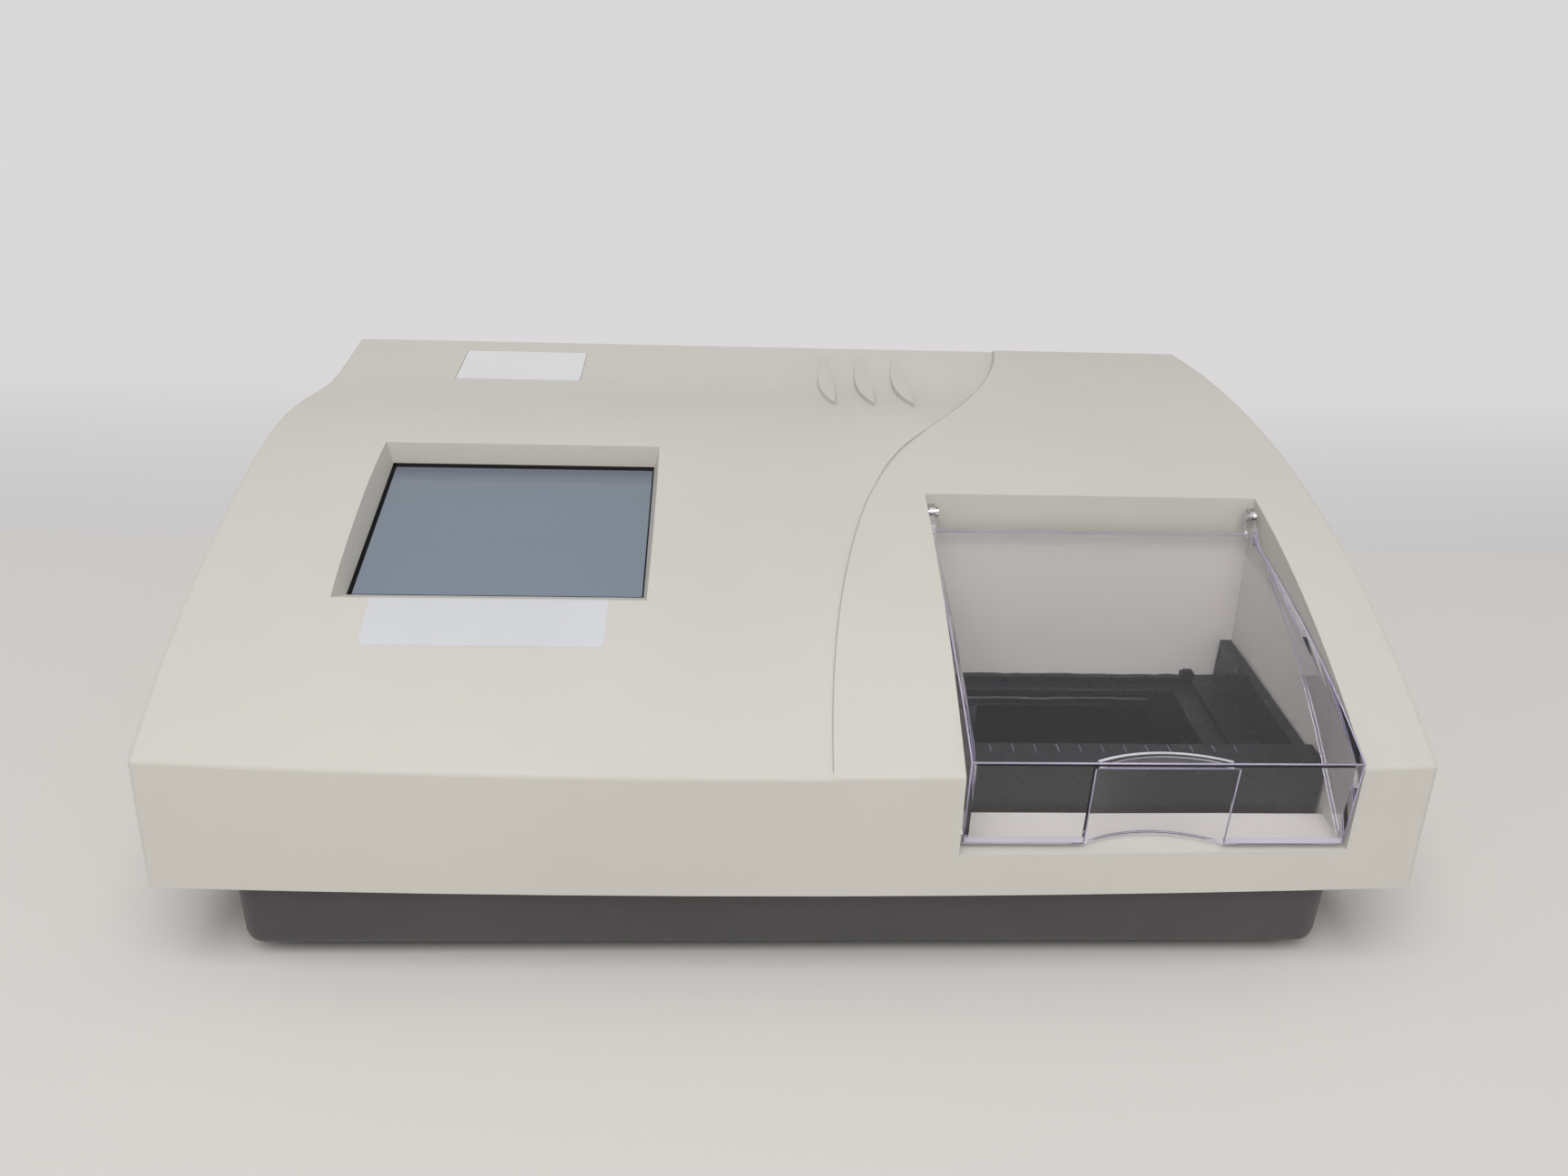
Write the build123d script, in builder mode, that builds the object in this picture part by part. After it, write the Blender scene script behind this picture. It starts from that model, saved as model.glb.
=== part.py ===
from build123d import *
import math
import os

# Bench-top microplate reader, in millimetres. +X is to the right, +Y to the back, +Z up.
# The origin is on the table, under the middle of the housing. Two kinds of working value
# are used: "back" is a distance behind the cover's front corners, and "up" is a height
# above the cover's lower rim. back_y() and up_z() turn them into coordinates.

# ---------------------------------------------------------------- housing sizes
cover_width = 482.0
body_depth = 354.0
front_bow = 5.0
foot_height = 5.0
base_height = 35.0
cover_wall = 3.0
front_corner_height = 52.2
front_slope = 0.56
crest_back = 258.0
crest_height = 113.7
rear_edge_height = 108.0
rear_slope = -0.09
shelf_step = 0.6
shelf_drop_back = 212.0
valley_back = 289.5
valley_height = 103.7
shelf_rear_slope = 0.06
side_draft = 0.0185
front_draft = 0.074
rear_draft = 0.02
edge_radius = 2.5
overshoot = 12.0

rim_z = foot_height + base_height
front_y = (front_bow - body_depth) / 2
dome_top = crest_height + overshoot

# ---------------------------------------------------------------- seam, ribs and label
seam_points = [
    (12.5, -20.0), (14.5, 40.0), (27.0, 110.0), (53.0, 178.0), (90.0, 233.0), (119.0, 300.0), (131.0, 362.0),
]
rib_count = 3
rib_pitch = 20.4
rib_first_x = 28.0
rib_front_back = 245.0
rib_length = 90.0
rib_left_bulge = 5.4
rib_right_bulge = 2.4
rib_front_height = 110.6
rib_rear_height = 108.2
rib_depth = 7.0
rib_left_fall = 3.0
rib_right_fall = 1.0
label_width = 67.0
label_length = 42.0
label_x = -141.0
label_back = 314.0
label_thickness = 1.0
label_gap = 0.3

# ---------------------------------------------------------------- screen
screen_x = -121.0
screen_front_back = 72.0
screen_rear_back = 178.0
screen_depth = 9.0
window_width = 120.0
window_side_flare = 2.3
window_front_flare = 12.3
window_rear_flare = 2.7
glass_margin = 3.0
glass_thickness = 2.0
screen_wall = 3.0
panel_thickness = 8.0
frame_sheet = 1.5
frame_margin = 4.0
screen_board_gap = 4.0
screen_board_thickness = 1.6

# ---------------------------------------------------------------- plate bay and lid
bay_left = 60.9
bay_width = 150.0
bay_wall = 2.5
bay_back = 142.2
bay_back_height = 107.2
bay_lean_deg = 5.6
sill_height = 18.2
ledge_back = 24.0
bay_skirt_height = 13.0
slot_height = 42.0
slot_back = 133.0
lid_gap = 1.5
lid_sheet = 2.5
lid_front_back = 0.8
lid_bottom_height = 20.4
lid_front_height = 57.3
lid_rear_back = 134.0
lid_rear_height = 89.9
lid_front_slope = 0.42
lid_rear_slope = 0.16
lid_skirt_rear_height = 86.5
lid_skirt_front_slope = 0.80
lid_skirt_rear_slope = 0.10
scoop_width = 54.0
scoop_depth = 7.0
hinge_back = 136.5
hinge_height = 97.0
ear_radius = 3.6
pin_radius = 1.5
pin_fit = 0.05
pin_head_radius = 2.6
pin_head = 1.2
pin_head_gap = 0.3

# ---------------------------------------------------------------- carrier and drive
carrier_gap = 1.4
carrier_length = 168.0
carrier_front_back = 27.0
carrier_rear_back = 130.0
carrier_bottom = 12.0
carrier_rear_rim = 17.0
front_rim_height = 38.0
side_rim_height = 34.7
side_wall = 5.0
nest_floor = 14.0
nest_length = 128.2
nest_width = 86.0
nest_front_back = 41.0
nest_right_gap = 18.0
nest_corner = 3.0
side_post_back = 132.0
window_length = 108.0
window_depth = 72.0
groove_width = 3.0
groove_deep = 4.0
tick_pitch = 9.0
tick_count = 12
tick_size = 1.0
well_rows = 8
rod_radius = 4.0
rod_height = 4.0
front_rod_back = 34.0
rear_rod_back = 129.0
rod_overrun = 24.5
rod_right_x = 204.0
bracket_sheet = 6.0
bracket_rise = 6.0
bracket_edge = 9.0
rod_fit = 0.05
bush_radius = 6.5
bush_length = 16.0
bush_fit = 0.05
bush_block = 18.0
bush_left_x = 62.0
bush_right_x = 182.0
stroke = 142.0
belt_back = 146.0
belt_width = 6.0
belt_thickness = 1.4
belt_clear = 0.3
pulley_radius = 7.0
pulley_flange = 1.2
pulley_flange_lip = 2.0
motor_x = -112.0
idler_x = 84.0
motor_size = 42.0
motor_length = 38.0
shaft_radius = 2.5
motor_bracket_sheet = 2.0
motor_bracket_edge = 3.0
bracket_foot = 20.0
idler_axle_radius = 2.5
clamp_length = 14.0
clamp_jaw = 2.4

# ---------------------------------------------------------------- base and chassis
base_side_inset = 28.0
base_front_back = 5.0
base_rear_inset = 8.0
base_wall = 3.0
base_radius = 8.0
flange_bottom = 2.0
flange_thickness = 3.0
flange_gap = 0.4
foot_radius = 10.0
foot_taper = 1.5
foot_side_inset = 33.0
foot_front_back = 30.0
foot_rear_inset = 38.0
post_radius = 5.0
post_height = 6.0
post_side_inset = 23.0
post_front_back = 20.0
post_rear_inset = 28.0
chassis_sheet = 2.0
chassis_gap = 4.0
screw_radius = 1.5
screw_head_radius = 3.2
screw_head = 2.0
screw_grip = 8.0
screw_fit = 0.2
screw_tip_gap = 1.0
boss_radius = 5.0
boss_side_inset = 15.5
boss_front_back = 22.0
boss_rear_inset = 22.0

# ---------------------------------------------------------------- rear panel
rear_recess = 12.0
rear_open_half = 185.0
rear_open_bottom = 10.0
rear_open_top = 76.0
rear_frame_wall = 2.5
rear_lap = 6.0
rear_sheet = 1.5
rear_row = 43.0
inlet_inset = 35.0
inlet_width = 28.0
inlet_height = 20.5
inlet_flange_width = 50.0
inlet_flange_height = 26.0
inlet_flange = 2.0
inlet_body = 20.0
inlet_cavity_width = 24.0
inlet_cavity_height = 16.5
inlet_cavity_depth = 16.0
inlet_pin_pitch = 7.0
inlet_pin_width = 2.0
inlet_pin_height = 4.0
inlet_pin_short = 2.0
inlet_pin_offset = 2.5
switch_spacing = 46.0
switch_width = 15.0
switch_height = 21.0
switch_flange = 1.5
switch_lap = 2.0
switch_body_length = 14.0
switch_pin_length = 1.0
rocker_width = 11.0
rocker_height = 16.0
rocker_gap = 0.6
rocker_proud = 2.6
rocker_deep = 5.0
rocker_throw_deg = 8.0
rocker_pin_radius = 1.0
rocker_swing = 2.0
fuse_spacing = 28.0
fuse_radius = 6.0
fuse_cap_radius = 7.5
fuse_cap = 6.0
fuse_body = 24.0
fan_x = 20.0
fan_size = 60.0
fan_thickness = 20.0
fan_bore_radius = 28.0
fan_tip_gap = 1.5
fan_hub_radius = 12.0
fan_hub_length = 14.0
fan_blades = 7
fan_blade_sheet = 1.6
fan_blade_pitch_deg = 35.0
fan_spoke = 4.0
fan_spoke_sheet = 3.0
fan_axle_radius = 2.0
fan_axle_fit = 0.05
fan_corner = 4.0
fan_clear = 0.5
fan_blade_chord = 13.0
grille_slot = 4.0
grille_pitch = 7.5
grille_rows = 7
serial_spacing = 56.0
serial_width = 31.0
serial_shell = 17.0
printer_spacing = 50.0
printer_width = 53.0
printer_shell = 39.0
port_height = 12.5
port_shell_height = 8.5
port_flange = 1.0
port_proud = 5.0
port_body = 10.0
port_key = 1.2
port_draft_deg = 10.0
knob_inset = 19.0
knob_radius = 8.0
knob_grip = 9.0
knob_gap = 0.5
knob_flutes = 12
knob_flute_radius = 1.2
knob_shaft_radius = 3.0
knob_body_radius = 8.0
knob_body = 9.0
knob_shaft_end = 3.0
cutout_fit = 0.3

# ---------------------------------------------------------------- optics and electronics
reading_x = 35.0
bridge_width = 40.0
bridge_leg = 10.0
bridge_front_back = 12.0
bridge_rear_back = 154.0
bridge_shoulder_back = 46.0
bridge_front_top = 50.0
bridge_front_under = 42.0
bridge_deck_height = 58.0
bridge_deck = 6.0
head_width = 26.0
head_bottom = 46.0
head_margin = 6.5
lens_radius = 3.0
lens_drop = 2.5
bundle_radius = 4.0
bundle_height = 52.0
bundle_bend = 18.0
bundle_clear = 2.0
detector_width = 30.0
detector_margin = 3.5
detector_height = 2.0
detector_board_thickness = 1.6
diode_height = 5.0
light_setback = 112.0
light_height = 30.0
inlet_block_right_x = 136.0
inlet_block_length = 14.0
inlet_block_width = 20.0
inlet_block_top = 12.0
wheel_gap = 3.0
wheel_sheet = 5.0
wheel_radius = 37.0
filter_ring = 26.0
filter_count = 8
filter_radius = 5.0
filter_fit = 0.05
wheel_shaft_radius = 2.5
wheel_hub_radius = 7.0
wheel_hub_length = 4.0
wheel_motor_size = 28.0
wheel_motor_length = 26.0
wheel_stand_sheet = 3.0
lens_tube_radius = 8.0
lens_tube_length = 14.0
lens_tube_wall = 1.5
condenser_sheet = 4.0
lamp_house_length = 44.0
lamp_house_width = 30.0
lamp_house_height = 64.0
lamp_house_wall = 2.5
lamp_house_gap = 1.0
lamp_radius = 6.0
lamp_height = 16.0
psu_left_x = -202.0
psu_width = 92.0
psu_front_back = 196.0
psu_rear_gap = 22.0
psu_height = 40.0
psu_sheet = 1.5
psu_board_lift = 4.0
capacitor_radius = 7.0
capacitor_height = 22.0
capacitor_pitch = 20.0
capacitor_count = 3
capacitor_inset = 24.0
transformer_size = 44.0
transformer_height = 30.0
transformer_inset = 8.0
board_left_x = -92.0
board_width = 186.0
board_front_back = 196.0
board_length = 104.0
board_thickness = 1.6
standoff_radius = 3.0
standoff_height = 8.0
standoff_inset = 6.0
chip_size = 22.0
chip_height = 3.0
chip_count = 4
chip_pitch = 40.0
connector_width = 34.0
connector_depth = 8.0
connector_height = 9.0


def back_y(back):
    """The Y of a point that lies this far behind the cover's front corners."""
    return front_y + back


def up_z(up):
    """The Z of a point that lies this far above the cover's lower rim."""
    return rim_z + up


# ---------------------------------------------------------------- shared places
rear_y = back_y(body_depth)
bay_right = bay_left + bay_width
bay_middle_x = bay_left + bay_width / 2
base_floor = -base_height + base_wall
chassis_bottom = base_floor + post_height
chassis_top = chassis_bottom + chassis_sheet
flange_top = flange_bottom + flange_thickness
carrier_right = bay_right - carrier_gap
carrier_left = carrier_right - carrier_length
rod_left_x = carrier_left - stroke - rod_overrun
nest_right = carrier_right - nest_right_gap
nest_left = nest_right - nest_length
nest_rear_back = nest_front_back + nest_width
plate_middle_x = (nest_left + nest_right) / 2
plate_middle_back = nest_front_back + nest_width / 2
row_span = (well_rows - 1) * tick_pitch
reading_front_back = plate_middle_back - row_span / 2
panel_back = body_depth - rear_recess
base_half_width = cover_width / 2 - base_side_inset
base_rear_back = body_depth - base_rear_inset
foot_x = base_half_width - foot_side_inset
foot_rear_back = body_depth - foot_rear_inset
post_x = base_half_width - post_side_inset
post_rear_back = body_depth - post_rear_inset
boss_x = cover_width / 2 - boss_side_inset
boss_rear_back = body_depth - boss_rear_inset
inlet_x = rear_open_half - inlet_inset
switch_x = inlet_x - switch_spacing
fuse_x = switch_x - fuse_spacing
knob_x = knob_inset - rear_open_half
printer_x = knob_x + printer_spacing
serial_x = printer_x + serial_spacing
light_back = panel_back - light_setback
psu_length = panel_back - psu_rear_gap - psu_front_back
hinge_y = back_y(hinge_back)
hinge_z = up_z(hinge_height)
ear_left = bay_left + lid_gap
ear_right = bay_right - lid_gap
row_z = up_z(rear_row)
rocker_valley = rocker_height / 2 * math.tan(math.radians(rocker_throw_deg))

os.makedirs("parts", exist_ok=True)


def save(piece, name):
    """Label a finished piece and write it to its own file."""
    piece.label = name
    export_step(piece, "parts/" + name + ".step")


# ---------------------------------------------------------------- surface of the cover
def cubic_value(start, start_slope, end, end_slope, back):
    """Height of the cubic arc between two (back, up) points with given end slopes."""
    span = end[0] - start[0]
    t = (back - start[0]) / span
    controls = [start[1], start[1] + start_slope * span / 3, end[1] - end_slope * span / 3, end[1]]
    weights = [(1 - t) ** 3, 3 * t * (1 - t) ** 2, 3 * t ** 2 * (1 - t), t ** 3]
    return sum(weight * control for weight, control in zip(weights, controls))


dome_front = (0.0, front_corner_height)
dome_crest = (crest_back, crest_height)
dome_rear = (body_depth, rear_edge_height)


def dome_height(back):
    """Height of the domed top above the rim."""
    if back <= crest_back:
        return cubic_value(dome_front, front_slope, dome_crest, 0.0, back)
    return cubic_value(dome_crest, 0.0, dome_rear, rear_slope, back)


def shelf_height(back):
    """Height of the left part of the top: the dome, then a drop into a shelf at the rear."""
    drop_start = (shelf_drop_back, dome_height(shelf_drop_back) - shelf_step)
    valley = (valley_back, valley_height)
    if back <= shelf_drop_back:
        return dome_height(back) - shelf_step
    if back <= valley_back:
        return cubic_value(drop_start, 0.0, valley, 0.0, back)
    return cubic_value(valley, 0.0, dome_rear, shelf_rear_slope, back)


dome_stations = [-overshoot, crest_back * 0.25, crest_back * 0.5, crest_back * 0.75, crest_back,
                 body_depth + overshoot]
shelf_stations = [-overshoot, crest_back * 0.25, crest_back * 0.5, shelf_drop_back,
                  (shelf_drop_back + valley_back) / 2, valley_back,
                  (valley_back + body_depth) / 2, body_depth + overshoot]


def plan_outline(inset, up):
    """The cover's outline seen from above, at one height, moved inwards by inset."""
    half = cover_width / 2 - inset - side_draft * up
    front = back_y(front_draft * up + inset)
    rear = rear_y - rear_draft * up - inset
    with BuildSketch(Plane.XY.offset(up_z(up))) as outline:
        with BuildLine():
            ThreePointArc((-half, front), (0, front - front_bow), (half, front))
            Line((half, front), (half, rear))
            Line((half, rear), (-half, rear))
            Line((-half, rear), (-half, front))
        make_face()
    return outline.sketch


def top_form(surface, stations, inset, bottom, radius):
    """The whole housing under one top surface, its edges rounded all but the lowest."""
    with BuildPart() as form:
        add(plan_outline(inset, bottom))
        add(plan_outline(inset, dome_top))
        loft(ruled=True)
        with BuildSketch(Plane.YZ):
            with BuildLine():
                Spline([(back_y(back), up_z(surface(back) - inset)) for back in stations])
                Polyline(
                    (back_y(stations[-1]), up_z(surface(stations[-1]) - inset)),
                    (back_y(stations[-1]), up_z(bottom)),
                    (back_y(stations[0]), up_z(bottom)),
                    (back_y(stations[0]), up_z(surface(stations[0]) - inset)),
                )
            make_face()
        extrude(amount=cover_width, both=True, mode=Mode.INTERSECT)
        if radius > 0:
            fillet(form.edges() - form.faces().sort_by(Axis.Z)[0].edges(), radius)
    return form.part


def left_of_seam(shift):
    """A tall block that fills the left side, up to the seam moved to the right by shift."""
    points = [(x + shift, back_y(back)) for x, back in seam_points]
    with BuildPart() as region:
        with BuildSketch(Plane.XY.offset(up_z(-overshoot))):
            with BuildLine():
                Spline(points)
                Polyline(points[-1], (-cover_width, points[-1][1]), (-cover_width, points[0][1]), points[0])
            make_face()
        extrude(amount=dome_top + 2 * overshoot)
    return region.part


def cover_form(inset, bottom, radius):
    """The closed cover: dome on the right of the seam, stepped shelf on its left."""
    dome = top_form(dome_height, dome_stations, inset, bottom, radius)
    shelf = top_form(shelf_height, shelf_stations, inset, bottom, radius)
    region = left_of_seam(inset)
    with BuildPart() as left_half:
        add(shelf)
        add(region, mode=Mode.INTERSECT)
    with BuildPart() as whole:
        add(dome)
        add(region, mode=Mode.SUBTRACT)
        add(left_half.part)
    return whole.part


cover_outer = cover_form(0.0, 0.0, edge_radius)
cover_hollow = cover_form(cover_wall, -overshoot, 0.0)


# ---------------------------------------------------------------- screen recess
screen_chord = dome_height(screen_rear_back) - dome_height(screen_front_back)
screen_tilt = math.degrees(math.atan2(screen_chord, screen_rear_back - screen_front_back))
screen_span = math.hypot(screen_chord, screen_rear_back - screen_front_back)
window_depth_along = screen_span - window_front_flare - window_rear_flare
chord_middle = Vector(
    screen_x,
    back_y((screen_front_back + screen_rear_back) / 2),
    up_z((dome_height(screen_front_back) + dome_height(screen_rear_back)) / 2),
)
chord_plane = Plane(origin=chord_middle).rotated((screen_tilt, 0, 0))
glass_plane = chord_plane.offset(-screen_depth)
window_shift = (window_front_flare - window_rear_flare) / 2

with BuildPart() as screen_tub:
    with BuildSketch(glass_plane):
        Rectangle(
            window_width + 2 * (window_side_flare + screen_wall),
            screen_span + 2 * screen_wall,
        )
    extrude(amount=3 * screen_depth)
    add(cover_outer, mode=Mode.INTERSECT)

# The funnel's mouth is its outline on the chord, carried on to twice the recess's depth.
with BuildPart() as screen_cut:
    with BuildSketch(glass_plane):
        with Locations((0, window_shift)):
            Rectangle(window_width, window_depth_along)
    with BuildSketch(glass_plane.offset(2 * screen_depth)):
        with Locations((0, -window_shift)):
            Rectangle(
                window_width + 4 * window_side_flare,
                window_depth_along + 2 * (window_front_flare + window_rear_flare),
            )
    loft(ruled=True)


# ---------------------------------------------------------------- plate bay in the cover
def bay_back_at(up, extra):
    """Where the leaning back wall stands at one height, moved back by extra."""
    return bay_back + extra - (bay_back_height - up) * math.tan(math.radians(bay_lean_deg))


def bay_profile(floor, skirt, extra):
    """Side outline of the bay: ledge at the front, open well behind it, leaning back."""
    return [
        (back_y(-overshoot), up_z(floor)),
        (back_y(ledge_back), up_z(floor)),
        (back_y(ledge_back), up_z(skirt)),
        (back_y(bay_back_at(skirt, extra)), up_z(skirt)),
        (back_y(bay_back_at(dome_top, extra)), up_z(dome_top)),
        (back_y(-overshoot), up_z(dome_top)),
    ]


with BuildPart() as bay_tub:
    with BuildSketch(Plane.YZ.offset(bay_left - bay_wall)):
        with BuildLine():
            Polyline(bay_profile(sill_height - bay_wall, bay_skirt_height, bay_wall), close=True)
        make_face()
    extrude(amount=bay_width + 2 * bay_wall)
    add(cover_outer, mode=Mode.INTERSECT)

with BuildPart() as bay_space:
    with BuildSketch(Plane.YZ.offset(bay_left)):
        with BuildLine():
            Polyline(bay_profile(sill_height, -overshoot, 0.0), close=True)
        make_face()
    extrude(amount=bay_width)
    slot_from = back_y(ledge_back)
    slot_to = back_y(slot_back)
    with BuildSketch(Plane.YZ.offset(bay_left - 2 * bay_wall)):
        with Locations(((slot_from + slot_to) / 2, up_z(slot_height / 2))):
            Rectangle(slot_to - slot_from, slot_height)
    extrude(amount=2 * bay_wall)


# ---------------------------------------------------------------- raised ribs
def rib_body(x):
    """One leaf-shaped rib: a lens in plan, with a ridge along it and a fall to each side."""
    rib_slope = math.degrees(math.atan2(rib_front_height - rib_rear_height, rib_length))
    roof_plane = Plane(
        origin=(x, back_y(rib_front_back), up_z(rib_front_height)),
        x_dir=(1, 0, 0),
        z_dir=(0, 1, 0),
    ).rotated((-rib_slope, 0, 0))
    with BuildPart() as rib:
        with BuildSketch(Plane.XY.offset(up_z(rib_rear_height - rib_depth))):
            with BuildLine():
                front_tip = (x, back_y(rib_front_back))
                rear_tip = (x, back_y(rib_front_back + rib_length))
                middle = back_y(rib_front_back + rib_length / 2)
                ThreePointArc(front_tip, (x - rib_left_bulge, middle), rear_tip)
                ThreePointArc(rear_tip, (x + rib_right_bulge, middle), front_tip)
            make_face()
        extrude(amount=2 * rib_depth)
        with BuildSketch(roof_plane):
            with BuildLine():
                Polyline(
                    (0, 0),
                    (rib_right_bulge, rib_right_fall),
                    (rib_right_bulge, 2 * rib_depth),
                    (-rib_left_bulge, 2 * rib_depth),
                    (-rib_left_bulge, rib_left_fall),
                    close=True,
                )
            make_face()
        extrude(amount=rib_length, mode=Mode.INTERSECT)
    return rib.part


ribs = [rib_body(rib_first_x + number * rib_pitch) for number in range(rib_count)]


# ---------------------------------------------------------------- label plate
def label_block(grow):
    """A tall block over the label's place on the shelf."""
    with BuildPart() as block:
        with BuildSketch(Plane.XY.offset(up_z(valley_height - overshoot))):
            with Locations((label_x, back_y(label_back))):
                RectangleRounded(label_width + 2 * grow, label_length + 2 * grow, label_thickness + grow)
        extrude(amount=2 * overshoot)
    return block.part


label_floor = top_form(shelf_height, shelf_stations, label_thickness, 0.0, 0.0)
label_sheet = top_form(shelf_height, shelf_stations, 0.0, 0.0, 0.0)

with BuildPart() as label_plate:
    add(label_sheet)
    add(label_floor, mode=Mode.SUBTRACT)
    add(label_block(0.0), mode=Mode.INTERSECT)
save(label_plate.part, "label_plate")

with BuildPart() as label_recess:
    add(label_block(label_gap))
    add(label_floor, mode=Mode.SUBTRACT)


# ---------------------------------------------------------------- rear opening and bosses
with BuildPart() as rear_tub:
    with BuildSketch(Plane.XZ.offset(-back_y(panel_back))):
        with Locations((0, up_z((rear_open_bottom + rear_open_top) / 2))):
            Rectangle(
                2 * (rear_open_half + rear_frame_wall),
                rear_open_top - rear_open_bottom + 2 * rear_frame_wall,
            )
    extrude(amount=-2 * rear_recess)
    add(cover_outer, mode=Mode.INTERSECT)

boss_places = [
    (side * boss_x, back_y(back)) for side in (-1, 1) for back in (boss_front_back, boss_rear_back)
]

with BuildPart() as cover_bosses:
    with BuildSketch(Plane.XY.offset(up_z(flange_top))):
        with Locations(*boss_places):
            Circle(boss_radius)
    extrude(amount=dome_top)
    add(cover_outer, mode=Mode.INTERSECT)

# ---------------------------------------------------------------- top cover
with BuildPart() as top_cover:
    add(cover_outer)
    add(cover_hollow, mode=Mode.SUBTRACT)
    add(screen_tub.part)
    add(bay_tub.part)
    add(rear_tub.part)
    add(cover_bosses.part)
    for rib in ribs:
        add(rib)
    add(screen_cut.part, mode=Mode.SUBTRACT)
    add(bay_space.part, mode=Mode.SUBTRACT)
    add(label_recess.part, mode=Mode.SUBTRACT)
    with BuildSketch(Plane.XZ.offset(-back_y(panel_back))):
        with Locations((0, up_z((rear_open_bottom + rear_open_top) / 2))):
            Rectangle(2 * rear_open_half, rear_open_top - rear_open_bottom)
    extrude(amount=-2 * rear_recess, mode=Mode.SUBTRACT)
    with BuildSketch(Plane.XY.offset(up_z(flange_top))):
        with Locations(*boss_places):
            Circle(screw_radius + pin_fit)
    extrude(amount=screw_grip + screw_tip_gap, mode=Mode.SUBTRACT)
    with BuildSketch(Plane.YZ.offset(bay_left - bay_wall)):
        with Locations((hinge_y, hinge_z)):
            Circle(pin_radius + pin_fit)
    extrude(amount=bay_width + 2 * bay_wall, mode=Mode.SUBTRACT)
save(top_cover.part, "top_cover")


# ---------------------------------------------------------------- lid
lid_front_top = (back_y(lid_front_back), up_z(lid_front_height))
lid_rear_top = (back_y(lid_rear_back), up_z(lid_rear_height))
lid_front_bottom = (back_y(lid_front_back), up_z(lid_bottom_height))
lid_rear_bottom = (back_y(lid_rear_back), up_z(lid_skirt_rear_height))


def slope_curve(start, start_slope, end, end_slope):
    """A smooth arc between two points, with a slope at each end."""
    third = (end[0] - start[0]) / 3
    return Bezier(
        start,
        (start[0] + third, start[1] + third * start_slope),
        (end[0] - third, end[1] - third * end_slope),
        end,
    )


with BuildPart() as lid:
    with BuildSketch(Plane.YZ.offset(ear_left)):
        with BuildLine():
            slope_curve(lid_front_top, lid_front_slope, lid_rear_top, lid_rear_slope)
            Line(lid_rear_top, lid_rear_bottom)
            slope_curve(lid_front_bottom, lid_skirt_front_slope, lid_rear_bottom, lid_skirt_rear_slope)
            Line(lid_front_bottom, lid_front_top)
        make_face()
    extrude(amount=ear_right - ear_left)
    inner_front_top = (lid_front_top[0] + lid_sheet, lid_front_top[1] - lid_sheet)
    inner_rear_top = (lid_rear_top[0] + lid_sheet, lid_rear_top[1] - lid_sheet)
    with BuildSketch(Plane.YZ.offset(ear_left + lid_sheet)):
        with BuildLine():
            slope_curve(inner_front_top, lid_front_slope, inner_rear_top, lid_rear_slope)
            Polyline(
                inner_rear_top,
                (inner_rear_top[0], up_z(0)),
                (inner_front_top[0], up_z(0)),
                inner_front_top,
            )
        make_face()
    extrude(amount=ear_right - ear_left - 2 * lid_sheet, mode=Mode.SUBTRACT)
    # Ears that reach up to the hinge pins.
    for ear_x in (ear_left, ear_right - lid_sheet):
        with BuildSketch(Plane.YZ.offset(ear_x)):
            with BuildLine():
                Polyline(
                    (hinge_y + ear_radius, hinge_z),
                    (hinge_y - ear_radius, hinge_z),
                    (lid_rear_top[0] - 3 * ear_radius, lid_rear_top[1] - lid_sheet),
                    lid_rear_bottom,
                    (lid_rear_top[0] + ear_radius, lid_rear_top[1]),
                    close=True,
                )
            make_face()
            with Locations((hinge_y, hinge_z)):
                Circle(ear_radius)
        extrude(amount=lid_sheet)
    # Finger scoop pressed into the front sheet, under the top sheet's front edge.
    scoop_radius = (scoop_width ** 2 / 4 + scoop_depth ** 2) / (2 * scoop_depth)
    scoop_y = back_y(lid_front_back + scoop_depth) - scoop_radius
    scoop_height = lid_front_height - lid_sheet - lid_bottom_height
    with BuildSketch(Plane.XY.offset(up_z(lid_bottom_height))):
        with Locations((bay_middle_x, scoop_y)):
            Circle(scoop_radius + lid_sheet)
        with Locations((bay_middle_x, back_y(lid_front_back + scoop_radius))):
            Rectangle(2 * scoop_width, 2 * scoop_radius, mode=Mode.INTERSECT)
    extrude(amount=scoop_height)
    with BuildSketch(Plane.XY.offset(up_z(lid_bottom_height))):
        with Locations((bay_middle_x, scoop_y)):
            Circle(scoop_radius)
    extrude(amount=scoop_height, mode=Mode.SUBTRACT)
    with BuildSketch(Plane.YZ.offset(ear_left)):
        with Locations((hinge_y, hinge_z)):
            Circle(pin_radius + pin_fit)
    extrude(amount=ear_right - ear_left, mode=Mode.SUBTRACT)
save(lid.part, "lid")

with BuildPart() as hinge_pins:
    for side, wall_x in ((1, bay_left - bay_wall), (-1, bay_right + bay_wall)):
        reach = bay_wall + lid_gap + lid_sheet + pin_head_gap
        with BuildSketch(Plane.YZ.offset(wall_x)):
            with Locations((hinge_y, hinge_z)):
                Circle(pin_radius)
        extrude(amount=side * reach)
        with BuildSketch(Plane.YZ.offset(wall_x + side * reach)):
            with Locations((hinge_y, hinge_z)):
                Circle(pin_head_radius)
        extrude(amount=side * pin_head)
save(hinge_pins.part, "hinge_pins")


# ---------------------------------------------------------------- screen stack
def glass_slab(sink, margin, thickness):
    """A plate behind the window, sunk below the glass plane, larger than the window by margin."""
    with BuildPart() as slab:
        with BuildSketch(glass_plane.offset(-sink)):
            with Locations((0, window_shift)):
                Rectangle(window_width + 2 * margin, window_depth_along + 2 * margin)
        extrude(amount=-thickness)
    return slab.part


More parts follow.
